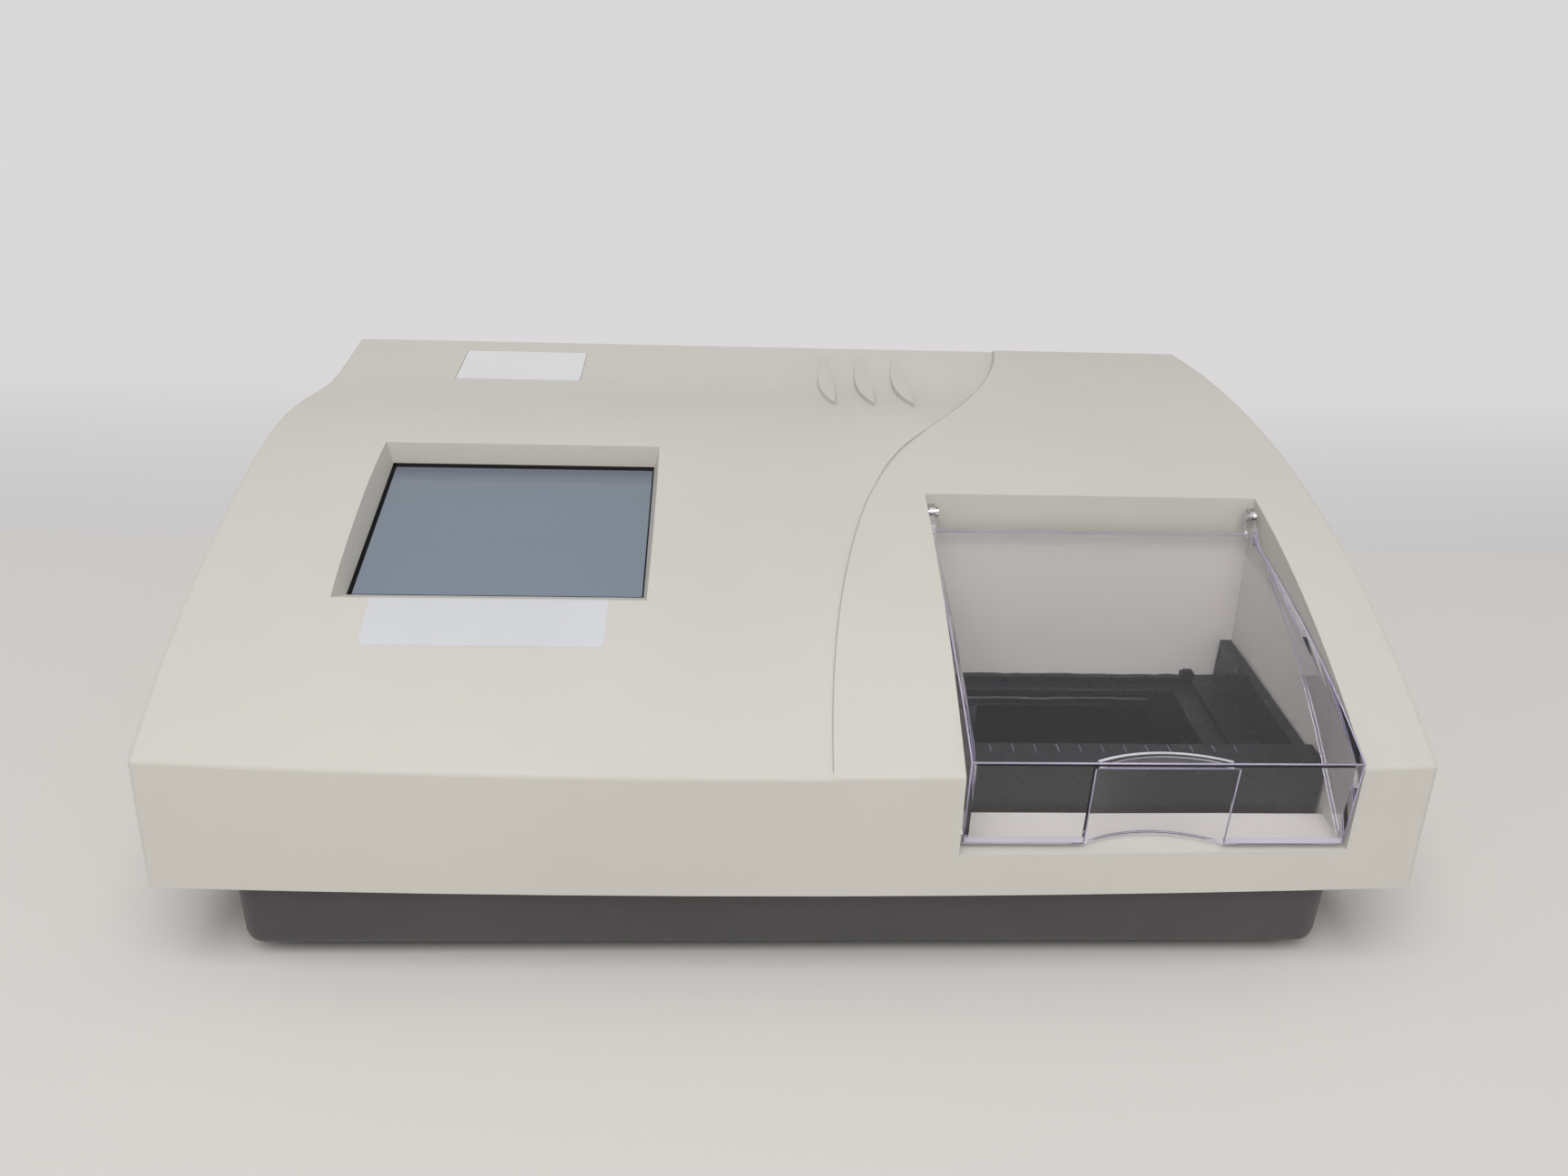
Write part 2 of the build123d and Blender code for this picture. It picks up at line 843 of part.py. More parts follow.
save(glass_slab(0.0, glass_margin, glass_thickness), "touch_glass")
save(glass_slab(glass_thickness, glass_margin, panel_thickness), "screen_panel")
frame_sink = glass_thickness + panel_thickness
save(glass_slab(frame_sink, frame_margin, frame_sheet), "screen_bracket")
board_sink = frame_sink + frame_sheet + screen_board_gap

with BuildPart() as screen_board:
    add(glass_slab(board_sink, -glass_margin, screen_board_thickness))
    with BuildSketch(glass_plane.offset(-board_sink)):
        with Locations((0, window_shift)):
            with GridLocations(window_width - 6 * glass_margin, window_depth_along - 6 * glass_margin, 2, 2):
                Circle(standoff_radius)
    extrude(amount=screen_board_gap)
save(screen_board.part, "screen_board")


# ---------------------------------------------------------------- carrier
bush_centres = [
    (x, back) for x in (bush_left_x, bush_right_x) for back in (front_rod_back, rear_rod_back)
]


def box_between(low, high, mode=Mode.ADD):
    """A box from its low corner to its high corner, for use inside a part."""
    middle = tuple((a + b) / 2 for a, b in zip(low, high))
    with Locations(middle):
        Box(*(b - a for a, b in zip(low, high)), mode=mode)


bay_rear_edge = back_y(carrier_rear_back)
carrier_front = back_y(carrier_front_back)
nest_front = back_y(nest_front_back)
nest_rear = back_y(nest_rear_back)

with BuildPart() as carrier:
    box_between((carrier_left, carrier_front, up_z(carrier_bottom)),
                (carrier_right, bay_rear_edge, up_z(carrier_rear_rim)))
    box_between((carrier_left, carrier_front, up_z(carrier_bottom)),
                (carrier_right, nest_front, up_z(front_rim_height)))
    box_between((carrier_left, carrier_front, up_z(carrier_bottom)),
                (nest_left, nest_rear, up_z(side_rim_height)))
    box_between((carrier_right - side_wall, carrier_front, up_z(carrier_bottom)),
                (carrier_right, back_y(side_post_back), up_z(side_rim_height)))
    with BuildSketch(Plane.XY.offset(up_z(nest_floor))):
        with Locations((plate_middle_x, back_y(plate_middle_back))):
            RectangleRounded(nest_length, nest_width, nest_corner)
    extrude(amount=front_rim_height, mode=Mode.SUBTRACT)
    with BuildSketch(Plane.XY.offset(up_z(carrier_bottom))):
        with Locations((plate_middle_x, back_y(plate_middle_back))):
            Rectangle(window_length, window_depth)
    extrude(amount=front_rim_height, mode=Mode.SUBTRACT)
    # A long groove that lightens the left rim.
    groove_x = (carrier_left + nest_left) / 2
    box_between(
        (groove_x - groove_width / 2, nest_front, up_z(side_rim_height - groove_deep)),
        (groove_x + groove_width / 2, nest_rear - nest_corner, up_z(front_rim_height)),
        mode=Mode.SUBTRACT,
    )
    # Notches along the front rim, one for each column of the plate.
    notch_centre = up_z(front_rim_height)
    for number in range(tick_count):
        notch_x = plate_middle_x + (number - (tick_count - 1) / 2) * tick_pitch
        box_between(
            (notch_x - tick_size / 2, nest_front - 4 * tick_size, notch_centre - tick_size / 2),
            (notch_x + tick_size / 2, nest_front, notch_centre + tick_size),
            mode=Mode.SUBTRACT,
        )
    # Blocks under the tray that hold the bushes.
    for x, back in bush_centres:
        with BuildSketch(Plane.YZ.offset(x - bush_length / 2)):
            with Locations((back_y(back), up_z((carrier_bottom + rod_height - bush_block / 2) / 2))):
                Rectangle(bush_block, carrier_bottom - rod_height + bush_block / 2)
        extrude(amount=bush_length)
        with BuildSketch(Plane.YZ.offset(x - bush_length / 2)):
            with Locations((back_y(back), up_z(rod_height))):
                Circle(bush_radius + bush_fit)
        extrude(amount=bush_length, mode=Mode.SUBTRACT)
save(carrier.part, "carrier")

with BuildPart() as slide_bushes:
    for x, back in bush_centres:
        with BuildSketch(Plane.YZ.offset(x - bush_length / 2)):
            with Locations((back_y(back), up_z(rod_height))):
                Circle(bush_radius)
                Circle(rod_radius + rod_fit, mode=Mode.SUBTRACT)
        extrude(amount=bush_length)
save(slide_bushes.part, "slide_bushes")

with BuildPart() as guide_rods:
    for back in (front_rod_back, rear_rod_back):
        with BuildSketch(Plane.YZ.offset(rod_left_x)):
            with Locations((back_y(back), up_z(rod_height))):
                Circle(rod_radius)
        extrude(amount=rod_right_x - rod_left_x)
save(guide_rods.part, "guide_rods")


bracket_low_y = back_y(front_rod_back - bracket_edge)
bracket_high_y = back_y(rear_rod_back + bracket_edge)

with BuildPart() as rod_brackets:
    for left in (rod_left_x, rod_right_x - bracket_sheet):
        box_between((left, bracket_low_y, up_z(chassis_top)),
                    (left + bracket_sheet, bracket_high_y, up_z(rod_height + bracket_rise)))
    with BuildSketch(Plane.YZ.offset(rod_left_x)):
        for back in (front_rod_back, rear_rod_back):
            with Locations((back_y(back), up_z(rod_height))):
                Circle(rod_radius + rod_fit)
    extrude(amount=rod_right_x - rod_left_x, mode=Mode.SUBTRACT)
save(rod_brackets.part, "rod_brackets")

# ---------------------------------------------------------------- belt drive
belt_y = back_y(belt_back)
belt_low_y = belt_y - belt_width / 2
belt_inner = pulley_radius + belt_clear
belt_outer = belt_inner + belt_thickness
pulley_length = belt_width + 2 * belt_clear
pulley_low_y = belt_y - pulley_length / 2


def xz_plane(y):
    """A sketch plane that faces the front, at this Y: extruding by a minus goes back."""
    return Plane.XZ.offset(-y)


with BuildPart() as drive_belt:
    with BuildSketch(xz_plane(belt_low_y)):
        with Locations(((motor_x + idler_x) / 2, up_z(rod_height))):
            SlotCenterToCenter(idler_x - motor_x, 2 * belt_outer)
            SlotCenterToCenter(idler_x - motor_x, 2 * belt_inner, mode=Mode.SUBTRACT)
    extrude(amount=-belt_width)
save(drive_belt.part, "drive_belt")


def belt_pulley(x, bore):
    """A pulley between two thin flanges, on an axle along Y."""
    with BuildPart() as pulley:
        for start, length, radius in (
            (pulley_low_y - pulley_flange, pulley_flange, pulley_radius + pulley_flange_lip),
            (pulley_low_y, pulley_length, pulley_radius),
            (pulley_low_y + pulley_length, pulley_flange, pulley_radius + pulley_flange_lip),
        ):
            with BuildSketch(xz_plane(start)):
                with Locations((x, up_z(rod_height))):
                    Circle(radius)
                    Circle(bore, mode=Mode.SUBTRACT)
            extrude(amount=-length)
    return pulley.part


save(belt_pulley(motor_x, shaft_radius + pin_fit), "motor_pulley")
save(belt_pulley(idler_x, idler_axle_radius + rod_fit), "idler_pulley")

pulley_rear_y = pulley_low_y + pulley_length + pulley_flange
drive_plate_y = pulley_rear_y + belt_clear
motor_face_y = drive_plate_y + motor_bracket_sheet


def drive_bracket(x, half_width, top):
    """An upright sheet behind the belt, on a foot that rests on the chassis."""
    with BuildPart() as bracket:
        box_between((x - half_width, drive_plate_y, up_z(chassis_top)),
                    (x + half_width, motor_face_y, up_z(top)))
        box_between((x - half_width, drive_plate_y, up_z(chassis_top)),
                    (x + half_width, motor_face_y + bracket_foot, up_z(chassis_top + motor_bracket_sheet)))
    return bracket.part


motor_half = motor_size / 2
bracket_top = rod_height + motor_half + motor_bracket_edge

with BuildPart() as motor_bracket:
    add(drive_bracket(motor_x, motor_half + motor_bracket_edge, bracket_top))
    with BuildSketch(xz_plane(drive_plate_y)):
        with Locations((motor_x, up_z(rod_height))):
            Circle(shaft_radius + screw_fit)
    extrude(amount=-motor_bracket_sheet, mode=Mode.SUBTRACT)
save(motor_bracket.part, "motor_bracket")

# The idler turns on a pin that is part of its bracket.
with BuildPart() as idler_bracket:
    add(drive_bracket(idler_x, 2 * pulley_radius, rod_height + 2 * pulley_radius))
    with BuildSketch(xz_plane(pulley_low_y - pulley_flange - belt_clear)):
        with Locations((idler_x, up_z(rod_height))):
            Circle(idler_axle_radius)
    extrude(amount=-(motor_face_y - pulley_low_y + pulley_flange + belt_clear))
save(idler_bracket.part, "idler_bracket")

with BuildPart() as carrier_motor:
    with BuildSketch(xz_plane(motor_face_y)):
        with Locations((motor_x, up_z(rod_height))):
            RectangleRounded(motor_size, motor_size, 2 * motor_bracket_sheet)
    extrude(amount=-motor_length)
save(carrier_motor.part, "carrier_motor")

with BuildPart() as motor_shaft:
    with BuildSketch(xz_plane(pulley_low_y - pulley_flange)):
        with Locations((motor_x, up_z(rod_height))):
            Circle(shaft_radius)
    extrude(amount=-(motor_face_y - pulley_low_y + pulley_flange))
save(motor_shaft.part, "motor_shaft")

# The clamp reaches from the rear bush block under the belt's top run and over it.
with BuildPart() as belt_clamp:
    jaw_low = rod_height + belt_inner - belt_clear - clamp_jaw
    jaw_high = rod_height + belt_outer + belt_clear
    clamp_from_y = back_y(rear_rod_back) + bush_block / 2
    clamp_rear_y = belt_y + belt_width / 2 + belt_clear
    clamp_left = bush_left_x - clamp_length / 2
    clamp_right = bush_left_x + clamp_length / 2
    box_between((clamp_left, clamp_from_y, up_z(jaw_low)),
                (clamp_right, clamp_rear_y + clamp_jaw, up_z(jaw_low + clamp_jaw)))
    box_between((clamp_left, clamp_rear_y, up_z(jaw_low)),
                (clamp_right, clamp_rear_y + clamp_jaw, up_z(jaw_high + clamp_jaw)))
    box_between((clamp_left, belt_low_y - belt_clear, up_z(jaw_high)),
                (clamp_right, clamp_rear_y + clamp_jaw, up_z(jaw_high + clamp_jaw)))
save(belt_clamp.part, "belt_clamp")

# ---------------------------------------------------------------- optics bridge
bridge_left = reading_x - bridge_width / 2
bridge_front = back_y(bridge_front_back)
bridge_rear = back_y(bridge_rear_back)
deck_top = bridge_deck_height + bridge_deck
head_left = reading_x - head_width / 2
head_right = reading_x + head_width / 2
head_front = back_y(reading_front_back - head_margin)
head_rear = back_y(reading_front_back + row_span + head_margin)

with BuildPart() as optics_bridge:
    with BuildSketch(Plane.YZ.offset(bridge_left)):
        with BuildLine():
            Polyline(
                (bridge_front, up_z(chassis_top)),
                (bridge_front, up_z(bridge_front_top)),
                (back_y(bridge_shoulder_back), up_z(deck_top)),
                (bridge_rear + bridge_leg, up_z(deck_top)),
                (bridge_rear + bridge_leg, up_z(chassis_top)),
                (bridge_rear, up_z(chassis_top)),
                (bridge_rear, up_z(bridge_deck_height)),
                (back_y(bridge_shoulder_back), up_z(bridge_deck_height)),
                (bridge_front + bridge_leg, up_z(bridge_front_under)),
                (bridge_front + bridge_leg, up_z(chassis_top)),
                close=True,
            )
        make_face()
    extrude(amount=bridge_width)
    with BuildSketch(xz_plane(bridge_rear)):
        with Locations((reading_x, up_z(bundle_height))):
            Circle(bundle_radius + bundle_clear)
    extrude(amount=-bridge_leg, mode=Mode.SUBTRACT)
save(optics_bridge.part, "optics_bridge")

with BuildPart() as fibre_head:
    box_between((head_left, head_front, up_z(head_bottom)), (head_right, head_rear, up_z(bridge_deck_height)))
save(fibre_head.part, "fibre_head")

well_places = [(reading_x, back_y(reading_front_back + row * tick_pitch)) for row in range(well_rows)]

with BuildPart() as focus_lenses:
    with BuildSketch(Plane.XY.offset(up_z(head_bottom))):
        with Locations(*well_places):
            Circle(lens_radius)
    extrude(amount=-lens_drop)
save(focus_lenses.part, "focus_lenses")

board_top = detector_height + detector_board_thickness
detector_low = (reading_x - detector_width / 2, back_y(reading_front_back - detector_margin))
detector_high = (reading_x + detector_width / 2, back_y(reading_front_back + row_span + detector_margin))

with BuildPart() as detector_stand:
    box_between((*detector_low, up_z(chassis_top)), (*detector_high, up_z(detector_height)))
save(detector_stand.part, "detector_stand")

with BuildPart() as detector_board:
    box_between((*detector_low, up_z(detector_height)), (*detector_high, up_z(board_top)))
save(detector_board.part, "detector_board")

with BuildPart() as photodiodes:
    with BuildSketch(Plane.XY.offset(up_z(board_top))):
        with Locations(*well_places):
            Circle(lens_radius)
    extrude(amount=diode_height)
save(photodiodes.part, "photodiodes")

# ---------------------------------------------------------------- light path
light_y = back_y(light_back)
light_z = up_z(light_height)
inlet_block_left = inlet_block_right_x - inlet_block_length
wheel_left = inlet_block_right_x + wheel_gap
wheel_right = wheel_left + wheel_sheet
wheel_y = light_y + filter_ring
tube_left = wheel_right + wheel_gap
house_left = tube_left + lens_tube_length
wheel_stand_left = wheel_right + wheel_hub_length + wheel_gap
wheel_motor_left = wheel_stand_left + wheel_stand_sheet

with BuildPart() as fibre_inlet:
    box_between((inlet_block_left, light_y - inlet_block_width / 2, up_z(chassis_top)),
                (inlet_block_right_x, light_y + inlet_block_width / 2, light_z + inlet_block_top))
save(fibre_inlet.part, "fibre_inlet")

with BuildPart() as fibre_bundle:
    with BuildLine():
        route = FilletPolyline(
            (inlet_block_left, light_y, light_z),
            (reading_x, light_y, light_z),
            (reading_x, light_y - 2 * bundle_bend, up_z(bundle_height)),
            (reading_x, head_rear, up_z(bundle_height)),
            radius=bundle_bend,
        )
    with BuildSketch(Plane(origin=route @ 0, z_dir=route % 0)):
        Circle(bundle_radius)
    sweep(path=route)
save(fibre_bundle.part, "fibre_bundle")

with BuildPart() as filter_wheel:
    with BuildSketch(Plane.YZ.offset(wheel_left)):
        with Locations((wheel_y, light_z)):
            Circle(wheel_radius)
            Circle(wheel_shaft_radius + pin_fit, mode=Mode.SUBTRACT)
            with PolarLocations(filter_ring, filter_count, start_angle=180):
                Circle(filter_radius + filter_fit, mode=Mode.SUBTRACT)
    extrude(amount=wheel_sheet)
    with BuildSketch(Plane.YZ.offset(wheel_right)):
        with Locations((wheel_y, light_z)):
            Circle(wheel_hub_radius)
            Circle(wheel_shaft_radius + pin_fit, mode=Mode.SUBTRACT)
    extrude(amount=wheel_hub_length)
save(filter_wheel.part, "filter_wheel")

with BuildPart() as light_filters:
    with BuildSketch(Plane.YZ.offset(wheel_left)):
        with Locations((wheel_y, light_z)):
            with PolarLocations(filter_ring, filter_count, start_angle=180):
                Circle(filter_radius)
    extrude(amount=wheel_sheet)
save(light_filters.part, "light_filters")

with BuildPart() as wheel_shaft:
    with BuildSketch(Plane.YZ.offset(wheel_left)):
        with Locations((wheel_y, light_z)):
            Circle(wheel_shaft_radius)
    extrude(amount=wheel_motor_left - wheel_left)
save(wheel_shaft.part, "wheel_shaft")

wheel_motor_half = wheel_motor_size / 2

with BuildPart() as wheel_motor:
    box_between((wheel_motor_left, wheel_y - wheel_motor_half, light_z - wheel_motor_half),
                (wheel_motor_left + wheel_motor_length, wheel_y + wheel_motor_half,
                 light_z + wheel_motor_half))
save(wheel_motor.part, "wheel_motor")

with BuildPart() as wheel_stand:
    box_between((wheel_stand_left, wheel_y - wheel_motor_half, up_z(chassis_top)),
                (wheel_motor_left, wheel_y + wheel_motor_half, light_z + wheel_motor_half))
    with BuildSketch(Plane.YZ.offset(wheel_stand_left)):
        with Locations((wheel_y, light_z)):
            Circle(wheel_shaft_radius + screw_fit)
    extrude(amount=wheel_stand_sheet, mode=Mode.SUBTRACT)
save(wheel_stand.part, "wheel_stand")

house_front = light_y - lamp_house_width / 2 - lamp_house_wall
house_rear = wheel_y - wheel_motor_half - lamp_house_gap
house_top = up_z(chassis_top + lamp_house_height)
lamp_x = house_left + lamp_house_length / 2
lamp_y = (house_front + house_rear) / 2

with BuildPart() as lamp_house:
    box_between((house_left, house_front, up_z(chassis_top)),
                (house_left + lamp_house_length, house_rear, house_top))
    box_between(
        (house_left + lamp_house_wall, house_front + lamp_house_wall, up_z(chassis_top)),
        (house_left + lamp_house_length - lamp_house_wall, house_rear - lamp_house_wall,
         house_top - lamp_house_wall),
        mode=Mode.SUBTRACT,
    )
    with BuildSketch(Plane.YZ.offset(house_left)):
        with Locations((light_y, light_z)):
            Circle(lens_tube_radius - lens_tube_wall)
    extrude(amount=lamp_house_wall, mode=Mode.SUBTRACT)
save(lamp_house.part, "lamp_house")

with BuildPart() as lens_tube:
    with BuildSketch(Plane.YZ.offset(tube_left)):
        with Locations((light_y, light_z)):
            Circle(lens_tube_radius)
            Circle(lens_tube_radius - lens_tube_wall, mode=Mode.SUBTRACT)
    extrude(amount=lens_tube_length)
save(lens_tube.part, "lens_tube")

with BuildPart() as condenser_lens:
    with BuildSketch(Plane.YZ.offset(tube_left)):
        with Locations((light_y, light_z)):
            Circle(lens_tube_radius - lens_tube_wall - pin_fit)
    extrude(amount=condenser_sheet)
save(condenser_lens.part, "condenser_lens")

lamp_socket_top = light_z - lamp_height

with BuildPart() as lamp_socket:
    box_between((lamp_x - 2 * lamp_radius, house_front + lamp_house_wall, up_z(chassis_top)),
                (lamp_x + 2 * lamp_radius, house_rear - lamp_house_wall, lamp_socket_top))
save(lamp_socket.part, "lamp_socket")

with BuildPart() as lamp:
    with BuildSketch(Plane.XY.offset(lamp_socket_top)):
        with Locations((lamp_x, lamp_y)):
            Circle(lamp_radius)
    extrude(amount=lamp_height + lamp_radius)
    fillet(lamp.faces().sort_by(Axis.Z)[-1].edges(), lamp_radius * 0.9)
save(lamp.part, "lamp")

# ---------------------------------------------------------------- base, chassis and feet
base_front = back_y(base_front_back)
base_rear = back_y(base_rear_back)
base_middle_y = (base_front + base_rear) / 2
post_places = [
    (side * post_x, back_y(back)) for side in (-1, 1) for back in (post_front_back, post_rear_back)
]
foot_places = [
    (side * foot_x, back_y(back)) for side in (-1, 1) for back in (foot_front_back, foot_rear_back)
]
base_inner_front = base_front + base_wall
base_inner_rear = base_rear - base_wall


def base_block(inset, low, high, radius):
    """The tray's block, moved in by inset and rounded round its bottom."""
    with BuildPart() as block:
        with BuildSketch(Plane.XY.offset(up_z(low))):
            with Locations((0, base_middle_y)):
                RectangleRounded(2 * (base_half_width - inset), base_rear - base_front - 2 * inset, radius)
        extrude(amount=high - low)
        fillet(block.faces().sort_by(Axis.Z)[0].edges(), radius - radius / 8)
    return block.part


base_outer_block = base_block(0.0, -base_height, flange_top, base_radius)
base_inner_block = base_block(base_wall, base_floor, flange_top, base_radius - base_wall)

with BuildPart() as flange_sheet:
    add(plan_outline(cover_wall + flange_gap, flange_bottom))
    extrude(amount=flange_thickness)

with BuildPart() as base_tray:
    add(base_outer_block)
    add(flange_sheet.part)
    add(base_inner_block, mode=Mode.SUBTRACT)
    with BuildSketch(Plane.XY.offset(up_z(base_floor))):
        with Locations(*post_places):
            Circle(post_radius)
    extrude(amount=post_height)
    with BuildSketch(Plane.XY.offset(up_z(base_floor))):
        with Locations(*post_places):
            Circle(screw_radius + pin_fit)
    extrude(amount=post_height, mode=Mode.SUBTRACT)
    with BuildSketch(Plane.XY.offset(up_z(flange_bottom))):
        with Locations(*boss_places):
            Circle(screw_radius + screw_fit)
    extrude(amount=flange_thickness, mode=Mode.SUBTRACT)
save(base_tray.part, "base_tray")

with BuildPart() as chassis_plate:
    with BuildSketch(Plane.XY.offset(up_z(chassis_bottom))):
        with Locations((0, (base_inner_front + base_inner_rear) / 2)):
            Rectangle(
                2 * (base_half_width - base_wall - chassis_gap),
                base_inner_rear - base_inner_front - chassis_gap / 2,
            )
        with Locations(*post_places):
            Circle(screw_radius + screw_fit, mode=Mode.SUBTRACT)
    extrude(amount=chassis_sheet)
save(chassis_plate.part, "chassis_plate")


def screws(places, under_head, head_side, grip):
    """A group of screws: the head lies on head_side of its seat, the shank on the other."""
    with BuildPart() as group:
        with BuildSketch(Plane.XY.offset(under_head)):
            with Locations(*places):
                Circle(screw_head_radius)
        extrude(amount=head_side * screw_head)
        with BuildSketch(Plane.XY.offset(under_head)):
            with Locations(*places):
                Circle(screw_radius)
        extrude(amount=-head_side * grip)
    return group.part


chassis_grip = chassis_sheet + post_height - screw_tip_gap
save(screws(post_places, up_z(chassis_top), 1, chassis_grip), "chassis_screws")
save(screws(boss_places, up_z(flange_bottom), -1, flange_thickness + screw_grip), "cover_screws")

with BuildPart() as rubber_feet:
    for place in foot_places:
        with BuildSketch(Plane.XY.offset(foot_height)):
            with Locations(place):
                Circle(foot_radius)
        with BuildSketch(Plane.XY):
            with Locations(place):
                Circle(foot_radius - foot_taper)
        loft()
save(rubber_feet.part, "rubber_feet")

# ---------------------------------------------------------------- rear panel and its parts
panel_low_y = back_y(panel_back) - rear_sheet
panel_rear_y = back_y(panel_back)

with BuildPart() as rear_panel:
    panel_top = rear_open_top + rear_lap
    with BuildSketch(xz_plane(panel_low_y)):
        with Locations((0, up_z((chassis_top + panel_top) / 2))):
            Rectangle(2 * (rear_open_half + rear_lap), panel_top - chassis_top)
        with Locations((inlet_x, row_z)):
            Rectangle(inlet_width + cutout_fit, inlet_height + cutout_fit, mode=Mode.SUBTRACT)
        with Locations((switch_x, row_z)):
            Rectangle(switch_width + cutout_fit, switch_height + cutout_fit, mode=Mode.SUBTRACT)
        with Locations((fuse_x, row_z)):
            Circle(fuse_radius + cutout_fit / 2, mode=Mode.SUBTRACT)
        with Locations((serial_x, row_z)):
            Rectangle(serial_shell + cutout_fit, port_shell_height + cutout_fit, mode=Mode.SUBTRACT)
        with Locations((printer_x, row_z)):
            Rectangle(printer_shell + cutout_fit, port_shell_height + cutout_fit, mode=Mode.SUBTRACT)
        with Locations((knob_x, row_z)):
            Circle(knob_shaft_radius + cutout_fit, mode=Mode.SUBTRACT)
        for row in range(grille_rows):
            drop = (row - (grille_rows - 1) / 2) * grille_pitch
            half_chord = math.sqrt(fan_bore_radius ** 2 - drop ** 2) - grille_slot / 2
            with Locations((fan_x, row_z + drop)):
                SlotOverall(2 * half_chord, grille_slot, mode=Mode.SUBTRACT)
    extrude(amount=-rear_sheet)
save(rear_panel.part, "rear_panel")

inlet_face_y = panel_rear_y + inlet_flange

with BuildPart() as power_inlet:
    with BuildSketch(xz_plane(panel_rear_y)):
        with Locations((inlet_x, row_z)):
            RectangleRounded(inlet_flange_width, inlet_flange_height, inlet_flange)
    extrude(amount=-inlet_flange)
    with BuildSketch(xz_plane(panel_rear_y - inlet_body)):
        with Locations((inlet_x, row_z)):
            Rectangle(inlet_width, inlet_height)
    extrude(amount=-inlet_body)
    with BuildSketch(xz_plane(inlet_face_y - inlet_cavity_depth)):
        with Locations((inlet_x, row_z)):
            Rectangle(inlet_cavity_width, inlet_cavity_height)
    extrude(amount=-inlet_cavity_depth, mode=Mode.SUBTRACT)
save(power_inlet.part, "power_inlet")

with BuildPart() as inlet_pins:
    with BuildSketch(xz_plane(inlet_face_y - inlet_cavity_depth)):
        for column, drop in ((-1, -1), (0, 1), (1, -1)):
            with Locations((inlet_x + column * inlet_pin_pitch, row_z + drop * inlet_pin_offset)):
                Rectangle(inlet_pin_width, inlet_pin_height)
    extrude(amount=-(inlet_cavity_depth - inlet_pin_short))
save(inlet_pins.part, "inlet_pins")

switch_face_y = panel_rear_y + switch_flange
rocker_width_gap = rocker_width + 2 * rocker_gap
rocker_height_gap = rocker_height + 2 * rocker_gap
rocker_axis_y = switch_face_y - rocker_deep / 2
rocker_pin_half = rocker_width_gap / 2 + switch_pin_length

with BuildPart() as switch_body:
    with BuildSketch(xz_plane(panel_rear_y)):
        with Locations((switch_x, row_z)):
            Rectangle(switch_width + 2 * switch_lap, switch_height + 2 * switch_lap)
    extrude(amount=-switch_flange)
    with BuildSketch(xz_plane(panel_rear_y - switch_body_length)):
        with Locations((switch_x, row_z)):
            Rectangle(switch_width, switch_height)
    extrude(amount=-switch_body_length)
    with BuildSketch(xz_plane(switch_face_y - rocker_deep - rocker_swing)):
        with Locations((switch_x, row_z)):
            Rectangle(rocker_width_gap, rocker_height_gap)
    extrude(amount=-(rocker_deep + rocker_swing), mode=Mode.SUBTRACT)
    with BuildSketch(Plane.YZ.offset(switch_x - rocker_pin_half)):
        with Locations((rocker_axis_y, row_z)):
            Circle(rocker_pin_radius + pin_fit)
    extrude(amount=2 * rocker_pin_half, mode=Mode.SUBTRACT)
save(switch_body.part, "switch_body")

with BuildPart() as power_rocker:
    with BuildSketch(Plane.YZ.offset(switch_x - rocker_width / 2)):
        with BuildLine():
            Polyline(
                (switch_face_y - rocker_deep, row_z - rocker_height / 2),
                (switch_face_y + rocker_proud, row_z - rocker_height / 2),
                (switch_face_y + rocker_proud - rocker_valley, row_z),
                (switch_face_y + rocker_proud, row_z + rocker_height / 2),
                (switch_face_y - rocker_deep, row_z + rocker_height / 2),
                close=True,
            )
        make_face()
    extrude(amount=rocker_width)
    with BuildSketch(Plane.YZ.offset(switch_x - rocker_pin_half)):
        with Locations((rocker_axis_y, row_z)):
            Circle(rocker_pin_radius)
    extrude(amount=2 * rocker_pin_half)
save(power_rocker.part, "power_rocker")

with BuildPart() as fuse_holder:
    with BuildSketch(xz_plane(panel_rear_y - fuse_body)):
        with Locations((fuse_x, row_z)):
            Circle(fuse_radius)
    extrude(amount=-fuse_body)
    with BuildSketch(xz_plane(panel_rear_y)):
        with Locations((fuse_x, row_z)):
            Circle(fuse_cap_radius)
    extrude(amount=-fuse_cap)
    with BuildSketch(xz_plane(panel_rear_y + fuse_cap - port_flange)):
        with Locations((fuse_x, row_z)):
            Rectangle(2 * fuse_radius, port_key)
    extrude(amount=-port_flange, mode=Mode.SUBTRACT)
save(fuse_holder.part, "fuse_holder")


def data_port(x, width, shell):
    """A D-shaped connector: its flange and body behind the panel, its shell through it."""
    with BuildPart() as port:
        with BuildSketch(xz_plane(panel_low_y - port_flange)):
            with Locations((x, row_z)):
                Rectangle(width, port_height)
        extrude(amount=-port_flange)
        with BuildSketch(xz_plane(panel_low_y - port_flange - port_body)):
            with Locations((x, row_z)):
                Rectangle(shell, port_height - 2 * port_flange)
        extrude(amount=-port_body)
        with BuildSketch(xz_plane(panel_low_y)):
            with Locations((x, row_z)):
                Trapezoid(shell, port_shell_height, 90 - port_draft_deg)
        extrude(amount=-(rear_sheet + port_proud))
    return port.part


save(data_port(serial_x, serial_width, serial_shell), "serial_port")
save(data_port(printer_x, printer_width, printer_shell), "printer_port")

# ---------------------------------------------------------------- brightness knob
knob_low_y = panel_rear_y + knob_gap
knob_shaft_low_y = panel_low_y - knob_body + knob_shaft_end

